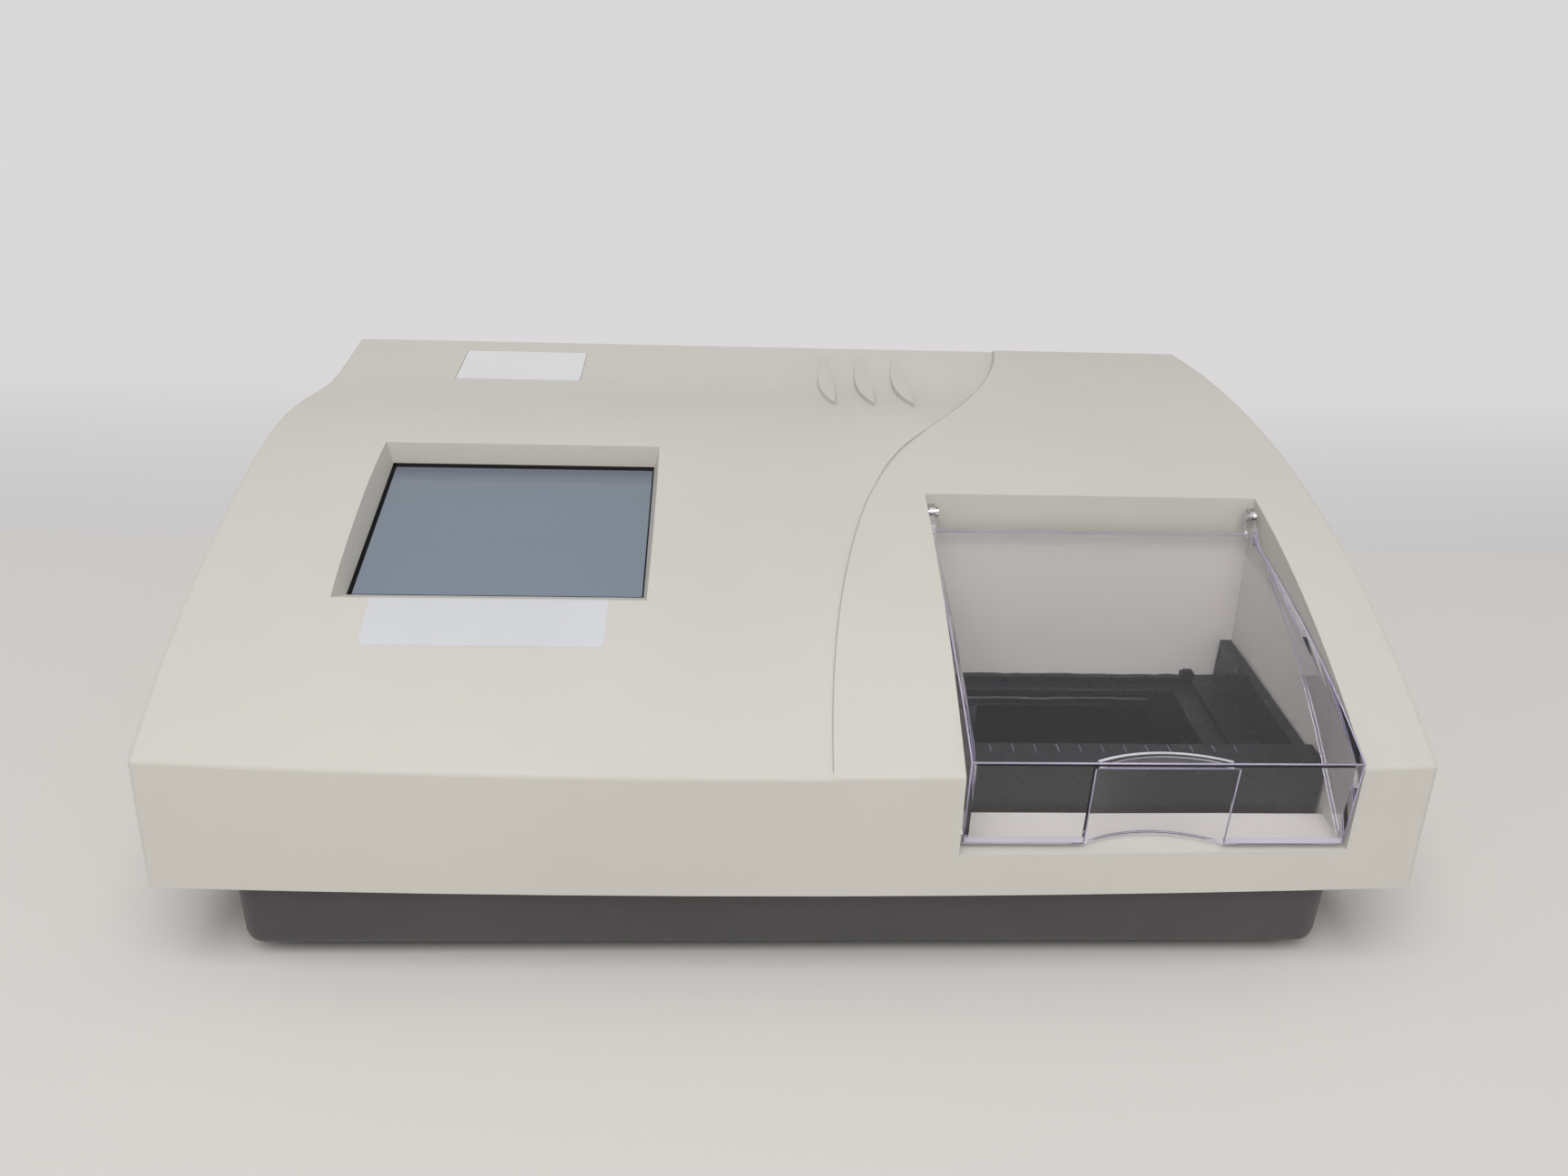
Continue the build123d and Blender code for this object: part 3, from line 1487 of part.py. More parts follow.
with BuildPart() as brightness_knob:
    with BuildSketch(xz_plane(knob_low_y)):
        with Locations((knob_x, row_z)):
            Circle(knob_radius)
            with PolarLocations(knob_radius, knob_flutes):
                Circle(knob_flute_radius, mode=Mode.SUBTRACT)
    extrude(amount=-knob_grip)
    with BuildSketch(xz_plane(knob_shaft_low_y)):
        with Locations((knob_x, row_z)):
            Circle(knob_shaft_radius)
    extrude(amount=-(knob_low_y - knob_shaft_low_y))
save(brightness_knob.part, "brightness_knob")

with BuildPart() as brightness_control:
    with BuildSketch(xz_plane(panel_low_y - knob_body)):
        with Locations((knob_x, row_z)):
            Circle(knob_body_radius)
    extrude(amount=-knob_body)
    with BuildSketch(xz_plane(knob_shaft_low_y - knob_shaft_end / 2)):
        with Locations((knob_x, row_z)):
            Circle(knob_shaft_radius + rod_fit)
    extrude(amount=-knob_body, mode=Mode.SUBTRACT)
save(brightness_control.part, "brightness_control")

# ---------------------------------------------------------------- fan
fan_low_y = panel_low_y - fan_thickness
rotor_low_y = fan_low_y + fan_spoke_sheet + fan_clear

with BuildPart() as fan_frame:
    with BuildSketch(xz_plane(fan_low_y)):
        with Locations((fan_x, row_z)):
            RectangleRounded(fan_size, fan_size, fan_corner)
            Circle(fan_bore_radius, mode=Mode.SUBTRACT)
    extrude(amount=-fan_thickness)
    with BuildSketch(xz_plane(fan_low_y)):
        with Locations((fan_x, row_z)):
            Rectangle(fan_spoke, fan_size - fan_spoke)
            Rectangle(fan_size - fan_spoke, fan_spoke)
            Circle(fan_hub_radius)
    extrude(amount=-fan_spoke_sheet)
    with BuildSketch(xz_plane(fan_low_y)):
        with Locations((fan_x, row_z)):
            Circle(fan_axle_radius)
    extrude(amount=-(fan_spoke_sheet + fan_hub_length))
save(fan_frame.part, "fan_frame")

with BuildPart() as fan_rotor:
    with BuildSketch(xz_plane(rotor_low_y)):
        with Locations((fan_x, row_z)):
            Circle(fan_hub_radius)
    extrude(amount=-fan_hub_length)
    for number in range(fan_blades):
        angle = 2 * math.pi * number / fan_blades
        outwards = Vector(math.cos(angle), 0, math.sin(angle))
        hub_middle = Vector(fan_x, rotor_low_y + fan_hub_length / 2, row_z)
        root = hub_middle + outwards * (fan_hub_radius - fan_blade_sheet)
        with BuildSketch(Plane(origin=root, x_dir=(0, 1, 0), z_dir=outwards)):
            Rectangle(fan_blade_chord, fan_blade_sheet, rotation=fan_blade_pitch_deg)
        extrude(amount=fan_bore_radius - fan_tip_gap - fan_hub_radius + fan_blade_sheet)
    with BuildSketch(xz_plane(rotor_low_y)):
        with Locations((fan_x, row_z)):
            Circle(fan_axle_radius + fan_axle_fit)
    extrude(amount=-fan_hub_length, mode=Mode.SUBTRACT)
save(fan_rotor.part, "fan_rotor")

# ---------------------------------------------------------------- power supply
psu_low = (psu_left_x, back_y(psu_front_back), up_z(chassis_top))
psu_high = (psu_left_x + psu_width, back_y(psu_front_back + psu_length), up_z(chassis_top + psu_height))

with BuildPart() as psu_case:
    box_between(psu_low, psu_high)
    box_between(
        (psu_low[0] + psu_sheet, psu_low[1], psu_low[2] + psu_sheet),
        (psu_high[0] - psu_sheet, psu_high[1], psu_high[2]),
        mode=Mode.SUBTRACT,
    )
save(psu_case.part, "psu_case")

psu_board_z = psu_low[2] + psu_sheet + psu_board_lift

with BuildPart() as psu_board:
    box_between(
        (psu_low[0] + 2 * psu_sheet, psu_low[1] + 2 * psu_sheet, psu_board_z),
        (psu_high[0] - 2 * psu_sheet, psu_high[1] - 2 * psu_sheet, psu_board_z + board_thickness),
    )
    with BuildSketch(Plane.XY.offset(psu_low[2] + psu_sheet)):
        with Locations((psu_low[0] + psu_width / 2, psu_low[1] + psu_length / 2)):
            with GridLocations(psu_width - 4 * standoff_inset, psu_length - 4 * standoff_inset, 2, 2):
                Circle(standoff_radius)
    extrude(amount=psu_board_lift)
    with BuildSketch(Plane.XY.offset(psu_board_z + board_thickness)):
        with Locations((psu_low[0] + psu_width / 2, psu_high[1] - capacitor_inset)):
            with GridLocations(capacitor_pitch, capacitor_pitch, capacitor_count, 1):
                Circle(capacitor_radius)
    extrude(amount=capacitor_height)
save(psu_board.part, "psu_board")

transformer_low = (psu_low[0] + psu_width / 2 - transformer_size / 2, psu_low[1] + transformer_inset)

with BuildPart() as transformer:
    box_between(
        (*transformer_low, psu_board_z + board_thickness),
        (
            transformer_low[0] + transformer_size,
            transformer_low[1] + transformer_size,
            psu_board_z + board_thickness + transformer_height,
        ),
    )
save(transformer.part, "transformer")

# ---------------------------------------------------------------- main board
board_low_y = back_y(board_front_back)
board_z = up_z(chassis_top + standoff_height)
board_middle = (board_left_x + board_width / 2, board_low_y + board_length / 2)

with BuildPart() as board_standoffs:
    with BuildSketch(Plane.XY.offset(up_z(chassis_top))):
        with Locations(board_middle):
            with GridLocations(board_width - 2 * standoff_inset, board_length - 2 * standoff_inset, 2, 2):
                Circle(standoff_radius)
    extrude(amount=standoff_height)
save(board_standoffs.part, "board_standoffs")

with BuildPart() as main_board:
    with BuildSketch(Plane.XY.offset(board_z)):
        with Locations(board_middle):
            Rectangle(board_width, board_length)
    extrude(amount=board_thickness)
    with BuildSketch(Plane.XY.offset(board_z + board_thickness)):
        with Locations(board_middle):
            with GridLocations(chip_pitch, chip_pitch, chip_count, 2):
                Rectangle(chip_size, chip_size)
    extrude(amount=chip_height)
    with BuildSketch(Plane.XY.offset(board_z + board_thickness)):
        with Locations((board_middle[0], board_low_y + connector_depth)):
            with GridLocations(2 * connector_width, 1, 2, 1):
                Rectangle(connector_width, connector_depth)
    extrude(amount=connector_height)
save(main_board.part, "main_board")
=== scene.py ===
import math

import bpy
from mathutils import Matrix, Vector


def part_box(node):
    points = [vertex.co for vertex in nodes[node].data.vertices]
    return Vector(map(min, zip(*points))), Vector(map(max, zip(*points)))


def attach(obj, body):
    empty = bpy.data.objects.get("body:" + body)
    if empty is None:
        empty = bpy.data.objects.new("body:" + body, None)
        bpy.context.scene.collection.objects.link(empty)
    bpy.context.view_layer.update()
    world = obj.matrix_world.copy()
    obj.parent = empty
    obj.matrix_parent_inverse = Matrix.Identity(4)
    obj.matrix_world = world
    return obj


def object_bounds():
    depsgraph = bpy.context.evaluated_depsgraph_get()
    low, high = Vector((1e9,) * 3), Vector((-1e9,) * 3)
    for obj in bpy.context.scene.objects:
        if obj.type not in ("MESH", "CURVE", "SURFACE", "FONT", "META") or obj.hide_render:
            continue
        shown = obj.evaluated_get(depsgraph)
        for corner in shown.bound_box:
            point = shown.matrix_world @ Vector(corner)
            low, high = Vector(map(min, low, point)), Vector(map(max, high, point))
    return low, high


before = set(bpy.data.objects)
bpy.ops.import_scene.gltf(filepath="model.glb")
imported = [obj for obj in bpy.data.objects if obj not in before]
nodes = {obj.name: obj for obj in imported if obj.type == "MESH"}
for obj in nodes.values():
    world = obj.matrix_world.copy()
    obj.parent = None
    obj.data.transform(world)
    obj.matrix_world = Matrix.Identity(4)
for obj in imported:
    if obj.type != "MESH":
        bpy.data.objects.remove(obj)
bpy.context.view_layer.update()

# Everything is in metres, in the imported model's frame: +X right, +Y back, +Z up.
# Sizes and places on the machine are named in working millimetres, which place() and MM turn into metres.
MM = 0.001
FRONT_Y = -174.5 * MM
RIM_Z = 40 * MM
X, Y, Z = Vector((1, 0, 0)), Vector((0, 1, 0)), Vector((0, 0, 1))


def place(x, back, up):
    """A point from working millimetres: across, behind the front corners, above the rim."""
    return Vector((x * MM, FRONT_Y + back * MM, RIM_Z + up * MM))


def rgb(red, green, blue):
    """A linear colour from 8-bit display values."""
    def channel(value):
        value /= 255.0
        return value / 12.92 if value <= 0.04045 else ((value + 0.055) / 1.055) ** 2.4
    return (channel(red), channel(green), channel(blue), 1.0)


# ---------------------------------------------------------------- shader nodes
def add_node(tree, kind, inputs, operation=None):
    """A new node. An input takes a constant, or a link where another node's output is given."""
    node = tree.nodes.new(kind)
    if operation:
        node.operation = operation
    for key, value in inputs.items():
        if isinstance(value, bpy.types.NodeSocket):
            tree.links.new(value, node.inputs[key])
        else:
            node.inputs[key].default_value = value
    return node


def remap(tree, value, from_low, from_high, to_low=0.0, to_high=1.0):
    """Carries a value from one span to another, and holds it at both ends."""
    inputs = {"Value": value, "From Min": from_low, "From Max": from_high}
    inputs.update({"To Min": to_low, "To Max": to_high})
    return add_node(tree, "ShaderNodeMapRange", inputs).outputs["Result"]


def larger(tree, first, second):
    """The larger of two values."""
    return add_node(tree, "ShaderNodeMath", {0: first, 1: second}, "MAXIMUM").outputs["Value"]


def mixed(tree, share, first, second):
    """The first shader where the share is 0, and the second where it is 1."""
    return add_node(tree, "ShaderNodeMixShader", {"Fac": share, 1: first, 2: second}).outputs["Shader"]


def axes(tree, vector):
    """The three parts of a vector, by the names X, Y and Z."""
    return add_node(tree, "ShaderNodeSeparateXYZ", {"Vector": vector}).outputs


def rays(tree):
    """What kind of ray meets the surface."""
    return add_node(tree, "ShaderNodeLightPath", {}).outputs


NOISE_LOW, NOISE_HIGH = 0.3, 0.7  # where nearly all of a noise texture's values lie


class Shader:
    """A small helper around one node material."""

    def __init__(self, name, **values):
        self.material = bpy.data.materials.new(name)
        self.material.use_nodes = True
        self.tree = self.material.node_tree
        self.main = self.tree.nodes["Principled BSDF"]
        self.output = self.tree.nodes["Material Output"]
        self.coords = self.tree.nodes.new("ShaderNodeTexCoord").outputs["Object"]
        for key, value in values.items():
            self.main.inputs[key.replace("_", " ")].default_value = value

    def noise(self, scale, detail=3.0, stretch=(1, 1, 1)):
        """A noise value on the object's own coordinates, stretched along its axes."""
        mapping = add_node(self.tree, "ShaderNodeMapping", {"Vector": self.coords, "Scale": stretch})
        inputs = {"Vector": mapping.outputs["Vector"], "Scale": scale, "Detail": detail}
        return add_node(self.tree, "ShaderNodeTexNoise", inputs).outputs["Fac"]

    def ramp(self, value, stops):
        """A colour from a value, through (position, colour) stops."""
        node = add_node(self.tree, "ShaderNodeValToRGB", {"Fac": value})
        ramp = node.color_ramp
        while len(ramp.elements) < len(stops):
            ramp.elements.new(0.5)
        for element, (position, colour) in zip(ramp.elements, stops):
            element.position = position
            element.color = colour
        return node.outputs["Color"]

    def colour(self, value):
        """Links a colour to the surface."""
        self.tree.links.new(value, self.main.inputs["Base Color"])

    def rough(self, noise, middle, spread):
        """Lets the roughness vary with a noise value around its middle."""
        value = remap(self.tree, noise, NOISE_LOW, NOISE_HIGH, middle - spread, middle + spread)
        self.tree.links.new(value, self.main.inputs["Roughness"])

    def bump(self, value, distance, strength=1.0):
        """Lets a noise value raise the surface by a distance in metres."""
        inputs = {"Height": value, "Distance": distance, "Strength": strength}
        node = add_node(self.tree, "ShaderNodeBump", inputs)
        self.tree.links.new(node.outputs["Normal"], self.main.inputs["Normal"])


# ---------------------------------------------------------------- materials
def mottled(name, low, high, rough, depth=0.00002, patch=18.0, **values):
    """Moulded or painted surface: two close tones in soft patches, and a fine grain."""
    shader = Shader(name, **values)
    shader.colour(shader.ramp(shader.noise(patch, 4.0), [(0.35, low), (0.65, high)]))
    shader.rough(shader.noise(patch * 6), rough, 0.06)
    shader.bump(shader.noise(2600.0, 2.0), depth)
    return shader.material


def brushed(name, low, high, rough, stretch):
    """Metal with fine lines along one direction."""
    shader = Shader(name, Metallic=1.0)
    lines = shader.noise(900.0, 3.0, stretch)
    shader.colour(shader.ramp(lines, [(0.3, low), (0.7, high)]))
    shader.rough(lines, rough, 0.08)
    shader.bump(lines, 0.00001)
    return shader.material


def glassy(name, colour, rough, ior, **values):
    """Clear stock: smooth, with faint moulding waves. Gives the helper, so that more can be added."""
    shader = Shader(name, Base_Color=colour, Roughness=rough, IOR=ior, Transmission_Weight=1.0, **values)
    shader.bump(shader.noise(40.0, 1.0), 0.00004, 0.06)
    return shader


def lid_acrylic(name):
    """Clear acrylic that is faintly violet in its depth, and lets light through to what is under it."""
    shader = glassy(name, (0.99, 0.985, 1.0, 1.0), 0.012, 1.49, Specular_IOR_Level=0.1)
    tree = shader.tree
    tint = add_node(tree, "ShaderNodeVolumeAbsorption", {"Color": (0.62, 0.52, 0.90, 1.0), "Density": 5.0})
    tree.links.new(tint.outputs["Volume"], shader.output.inputs["Volume"])
    clear = add_node(tree, "ShaderNodeBsdfTransparent", {"Color": (0.86, 0.855, 0.88, 1.0)})
    surface = mixed(tree, rays(tree)["Is Shadow Ray"], shader.main.outputs["BSDF"], clear.outputs["BSDF"])
    tree.links.new(surface, shader.output.inputs["Surface"])
    return shader.material


def blank_screen(name, front_back, rear_back):
    """A display with nothing on it, from one distance back to another: darker at the rear."""
    shader = Shader(name, Roughness=0.22, Coat_Weight=0.6, Coat_Roughness=0.06, Specular_IOR_Level=0.4)
    front_y, rear_y = place(0, front_back, 0).y, place(0, rear_back, 0).y
    rearward = remap(shader.tree, axes(shader.tree, shader.coords)["Y"], front_y, rear_y)
    stops = [(0.0, rgb(126, 139, 153)), (0.88, rgb(126, 136, 148)), (0.97, rgb(98, 104, 121))]
    shader.colour(shader.ramp(rearward, stops))
    shader.bump(shader.noise(3000.0, 1.0), 0.000004)
    return shader.material


cover_plastic = mottled("cover_plastic", rgb(208, 204, 196), rgb(211, 207, 199), 0.55, patch=9.0)
# A darker tone for a thin strip along the cover's seam step: painted shadow.
seam_painted_shadow = mottled("seam_painted_shadow", rgb(170, 166, 158), rgb(176, 172, 164), 0.6, patch=9.0)
base_plastic = mottled("base_plastic", rgb(72, 70, 71), rgb(78, 76, 77), 0.42, depth=0.00003)
black_plastic = mottled("black_plastic", rgb(30, 29, 32), rgb(38, 37, 41), 0.42)
carrier_plastic = mottled(
    "carrier_plastic", rgb(16, 15, 19), rgb(20, 19, 24), 0.30, depth=0.000003, Specular_IOR_Level=0.22
)
black_metal = mottled("black_metal", rgb(28, 28, 30), rgb(36, 36, 38), 0.4)
panel_paint = mottled("panel_paint", rgb(198, 195, 187), rgb(204, 201, 193), 0.6, depth=0.00006)
white_plate = mottled("white_plate", rgb(227, 227, 228), rgb(229, 229, 230), 0.5, depth=0.0000002)
# Near-black for the screen's gasket, which also stands for painted shadow in the gap beside the glass.
gasket_and_gap_shadow = mottled("gasket_and_gap_shadow", rgb(7, 7, 9), rgb(11, 11, 13), 0.5, Specular_IOR_Level=0.15)
rubber = mottled("rubber", rgb(34, 34, 34), rgb(42, 42, 42), 0.8, depth=0.00006)
circuit_board = mottled("circuit_board", rgb(20, 92, 52), rgb(26, 104, 60), 0.35)
wrap = mottled("transformer_wrap", rgb(205, 170, 70), rgb(214, 180, 84), 0.4)
bush_polymer = mottled("bush_polymer", rgb(30, 30, 33), rgb(37, 37, 41), 0.45)
blacked_sheet = mottled("blacked_sheet", rgb(16, 16, 18), rgb(20, 20, 23), 0.4, depth=0.000003)
# Pale violet for beads along the lid's edges: painted highlights.
violet_edge_highlight = mottled("violet_edge_highlight", rgb(176, 170, 192), rgb(196, 190, 210), 0.2, depth=0.000002)
# Pale grey for strips inside the lid's faces: painted highlights.
pale_edge_highlight = mottled("pale_edge_highlight", rgb(188, 184, 193), rgb(195, 191, 200), 0.5, depth=0.000001)
# Near-white for the bead along the scoop's rim: a painted highlight.
frosted_edge_highlight = mottled("frosted_edge_highlight", rgb(232, 231, 236), rgb(242, 241, 246), 0.3)
mark_grey = mottled("mark_grey", rgb(96, 96, 102), rgb(106, 106, 112), 0.5)
sticker_paper = mottled("sticker_paper", rgb(211, 212, 216), rgb(214, 215, 219), 0.4, depth=0.000001)
steel = brushed("steel", rgb(176, 176, 178), rgb(196, 196, 198), 0.35, (1, 0.05, 1))
zinc_sheet = brushed("zinc_sheet", rgb(188, 190, 193), rgb(206, 208, 211), 0.42, (0.08, 1, 1))
aluminium = brushed("aluminium", rgb(198, 199, 202), rgb(214, 215, 218), 0.34, (1, 0.06, 1))
chrome = brushed("chrome", rgb(214, 214, 216), rgb(226, 226, 228), 0.12, (1, 1, 0.1))
rod_steel = brushed("rod_steel", rgb(84, 84, 90), rgb(98, 98, 104), 0.22, (0.05, 1, 1))
brass = brushed("brass", rgb(196, 164, 96), rgb(210, 180, 112), 0.3, (0.05, 1, 1))
lens_glass = glassy("lens_glass", (0.93, 0.96, 1.0, 1.0), 0.02, 1.5).material
filter_glass = glassy("filter_glass", (0.50, 0.32, 0.80, 1.0), 0.02, 1.5).material
clear_acrylic = lid_acrylic("clear_acrylic")
screen_glass = blank_screen("screen_glass", 75, 175)

looks = {
    cover_plastic: "top_cover",
    base_plastic: "base_tray",
    rubber: "rubber_feet drive_belt",
    steel: "cover_screws chassis_screws motor_shaft wheel_shaft serial_port printer_port",
    zinc_sheet: "screen_bracket motor_bracket idler_bracket wheel_stand psu_case "
                "brightness_control",
    white_plate: "label_plate lamp_socket",
    screen_glass: "touch_glass",
    black_plastic: "screen_panel fibre_bundle power_inlet switch_body power_rocker fuse_holder "
                   "brightness_knob fan_frame fan_rotor",
    circuit_board: "screen_board detector_board psu_board main_board",
    clear_acrylic: "lid",
    chrome: "hinge_pins inlet_pins",
    rod_steel: "guide_rods",
    blacked_sheet: "chassis_plate",
    bush_polymer: "slide_bushes",
    carrier_plastic: "carrier",
    brass: "board_standoffs",
    aluminium: "belt_clamp rod_brackets motor_pulley idler_pulley optics_bridge detector_stand "
               "fibre_inlet",
    black_metal: "carrier_motor fibre_head filter_wheel wheel_motor lamp_house lens_tube",
    lens_glass: "focus_lenses photodiodes condenser_lens lamp",
    filter_glass: "light_filters",
    panel_paint: "rear_panel",
    wrap: "transformer",
}
for material, names in looks.items():
    for name in names.split():
        mesh = nodes[name].data
        mesh.materials.clear()
        mesh.materials.append(material)


# ---------------------------------------------------------------- mesh helpers
SKIN = 0.02  # how far a mark starts above the surface it lies on
MARK = 0.05  # how thick a flat mark is


def piece(name, points, faces, material, body, smooth=False):
    """One new mesh piece that rides on a body."""
    mesh = bpy.data.meshes.new(name)
    mesh.from_pydata([tuple(point) for point in points], [], faces)
    mesh.validate()
    mesh.materials.append(material)
    for face in mesh.polygons:
        face.use_smooth = smooth
    made = bpy.data.objects.new(name, mesh)
    bpy.context.scene.collection.objects.link(made)
    if body:
        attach(made, body)
    return made


def slab(points, faces, outline, normal, thickness):
    """Adds a thin prism on an outline: its floor, its top and its sides."""
    start = len(points)
    count = len(outline)
    lift = normal * thickness
    points.extend(outline)
    points.extend(point + lift for point in outline)
    faces.append([start + number for number in reversed(range(count))])
    faces.append([start + count + number for number in range(count)])
    for number in range(count):
        follow = (number + 1) % count
        faces.append([start + number, start + follow, start + count + follow, start + count + number])


def bead(points, faces, path, radius, sides=8):
    """Adds a thin round bead along a path of points."""
    start = len(points)
    for number, centre in enumerate(path):
        ahead = path[min(number + 1, len(path) - 1)] - path[max(number - 1, 0)]
        ahead.normalize()
        first = ahead.cross(Z if abs(ahead.z) < 0.9 else X).normalized()
        second = ahead.cross(first)
        for side in range(sides):
            angle = 2 * math.pi * side / sides
            points.append(centre + (first * math.cos(angle) + second * math.sin(angle)) * radius)
    for ring in range(len(path) - 1):
        low, high = start + ring * sides, start + (ring + 1) * sides
        for side in range(sides):
            follow = (side + 1) % sides
            faces.append([low + side, low + follow, high + follow, high + side])
    faces.append([start + side for side in range(sides)][::-1])
    faces.append([start + (len(path) - 1) * sides + side for side in range(sides)])


def disc(middle, across, along, radius, sides=24):
    """Corners of a round outline in the plane of two unit vectors."""
    return [
        middle + across * radius * math.cos(turn) + along * radius * math.sin(turn)
        for turn in (2 * math.pi * number / sides for number in range(sides))
    ]


def bar(middle, across, along, width, length):
    """Corners of a rectangle in the plane of two unit vectors."""
    half_a = across * width / 2
    half_b = along * length / 2
    return [middle - half_a - half_b, middle + half_a - half_b, middle + half_a + half_b,
            middle - half_a + half_b]


CROSS_ARM = 0.28  # how wide a cross's arm is, as a share of its length
CROSS_THICKNESS = 0.04


def cross(points, faces, middle, across, along, normal, size):
    """Adds a flat cross, as the recess in a screw's head: drawn dark, it is painted shade."""
    for first, second in ((across, along), (along, across)):
        arm = bar(middle, first, second, size * CROSS_ARM, size)
        slab(points, faces, arm, normal, CROSS_THICKNESS * MM)


ABOVE_ALL = 150  # higher than anything on the cover
bpy.context.view_layer.update()


def on_cover(x, back):
    """The point of the cover's surface straight under a place."""
    _found, hit, _normal, _face = nodes["top_cover"].ray_cast(place(x, back, ABOVE_ALL), -Z)
    return hit


# ---------------------------------------------------------------- note stuck in front of the screen
NOTE_LEFT, NOTE_RIGHT = -168.0, -74.0
NOTE_FRONT, NOTE_REAR = 50.0, 73.5
NOTE_CORNER = 2.2
NOTE_THICKNESS = 0.14
ACROSS_STEPS, ALONG_STEPS = 48, 16


def rounded(x, back):
    """Pulls a place of the note's grid in, so that its corners are round."""
    near_x = min(max(x, NOTE_LEFT + NOTE_CORNER), NOTE_RIGHT - NOTE_CORNER)
    near_back = min(max(back, NOTE_FRONT + NOTE_CORNER), NOTE_REAR - NOTE_CORNER)
    away = math.hypot(x - near_x, back - near_back)
    if away <= NOTE_CORNER or near_x == x or near_back == back:
        return x, back
    scale = NOTE_CORNER / away
    return near_x + (x - near_x) * scale, near_back + (back - near_back) * scale


def cell(row, column):
    """The number of a point in the note's lower grid."""
    return row * (ACROSS_STEPS + 1) + column


points, faces = [], []
for level in (SKIN * MM, (SKIN + NOTE_THICKNESS) * MM):
    for row in range(ALONG_STEPS + 1):
        for column in range(ACROSS_STEPS + 1):
            x = NOTE_LEFT + (NOTE_RIGHT - NOTE_LEFT) * column / ACROSS_STEPS
            back = NOTE_FRONT + (NOTE_REAR - NOTE_FRONT) * row / ALONG_STEPS
            x, back = rounded(x, back)
            points.append(on_cover(x, back) + Z * level)
grid_size = (ACROSS_STEPS + 1) * (ALONG_STEPS + 1)
for row in range(ALONG_STEPS):
    for column in range(ACROSS_STEPS):
        corners = [cell(row, column), cell(row, column + 1), cell(row + 1, column + 1), cell(row + 1, column)]
        faces.append(corners[::-1])
        faces.append([corner + grid_size for corner in corners])
rim = [cell(0, column) for column in range(ACROSS_STEPS)]
rim += [cell(row, ACROSS_STEPS) for row in range(ALONG_STEPS)]
rim += [cell(ALONG_STEPS, ACROSS_STEPS - column) for column in range(ACROSS_STEPS)]
rim += [cell(ALONG_STEPS - row, 0) for row in range(ALONG_STEPS)]
for here, there in zip(rim, rim[1:] + rim[:1]):
    faces.append([here, there, there + grid_size, here + grid_size])
piece("screen_note_sticker", points, faces, sticker_paper, "housing")

# ---------------------------------------------------------------- painted shadow line along the cover's seam step
# How far back each stretch reaches, and between which places across its first step is the seam.
SEAM_RANGES = ((130.0, 4.0, 50.0), (235.0, 4.0, 110.0), (math.inf, 84.0, 150.0))
SEAM_STEP = 0.25  # the least step that counts as the seam
SEAM_REACH = 0.2  # how near on both sides the step has to show, so that a slope isn't taken for it
SEAM_EXACT = 0.02  # how exactly its place is found
SEAM_WIDTH = 0.45
SEAM_FRONT, SEAM_PITCH, SEAM_COUNT = 0.8, 3.0, 117


def cover_up(x, back):
    """The cover's height at a place, in millimetres above the rim."""
    return (on_cover(x, back).z - RIM_Z) / MM


def seam_x(back):
    """Where the cover's height jumps at one distance back, or None where both sides are level."""
    low_x, high_x = next((low, high) for rear, low, high in SEAM_RANGES if back < rear)
    left_up = cover_up(low_x, back)
    if abs(cover_up(high_x, back) - left_up) < SEAM_STEP:
        return None
    while high_x - low_x > SEAM_EXACT:
        middle_x = (low_x + high_x) / 2
        if abs(cover_up(middle_x, back) - left_up) > SEAM_STEP:
            high_x = middle_x
        else:
            low_x = middle_x
    if abs(cover_up(high_x + SEAM_REACH, back) - cover_up(high_x - SEAM_REACH, back)) < SEAM_STEP:
        return None
    return high_x


def between(line, back):
    """The seam's X at a distance back, on a straight line between its found neighbours."""
    before = max((spot for spot in line if spot[0] <= back), key=lambda spot: spot[0])
    after = min((spot for spot in line if spot[0] >= back), key=lambda spot: spot[0])
    if before == after:
        return before[1]
    share = (back - before[0]) / (after[0] - before[0])
    return before[1] + (after[1] - before[1]) * share


seam_backs = [SEAM_FRONT + SEAM_PITCH * number for number in range(SEAM_COUNT)]
found_seam = [(back, seam_x(back)) for back in seam_backs]
found_seam = [spot for spot in found_seam if spot[1] is not None]
seam_backs = [back for back in seam_backs if back <= found_seam[-1][0]]
cover_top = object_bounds()[1][2]
points, faces = [], []
for level in (MARK * MM, 0.0):
    for back in seam_backs:
        x = between(found_seam, back)
        height = max(on_cover(x - SEAM_WIDTH, back).z, on_cover(x + SEAM_WIDTH, back).z)
        for side_x in (x - SEAM_WIDTH / 2, x + SEAM_WIDTH / 2):
            spot = place(side_x, back, 0)
            spot.z = min(height + MARK * MM, cover_top) - level
            points.append(spot)
count = len(seam_backs)
for number in range(count - 1):
    start = 2 * number
    top = 2 * count + start
    faces.append([start, start + 2, start + 3, start + 1])
    faces.append([top, top + 1, top + 3, top + 2])
    faces.append([start, top, top + 2, start + 2])
    faces.append([start + 1, start + 3, top + 3, top + 1])
last = 2 * (count - 1)
faces.append([0, 1, 2 * count + 1, 2 * count])
faces.append([last, 2 * count + last, 2 * count + last + 1, last + 1])
piece("cover_seam_shadow_line", points, faces, seam_painted_shadow, "housing")

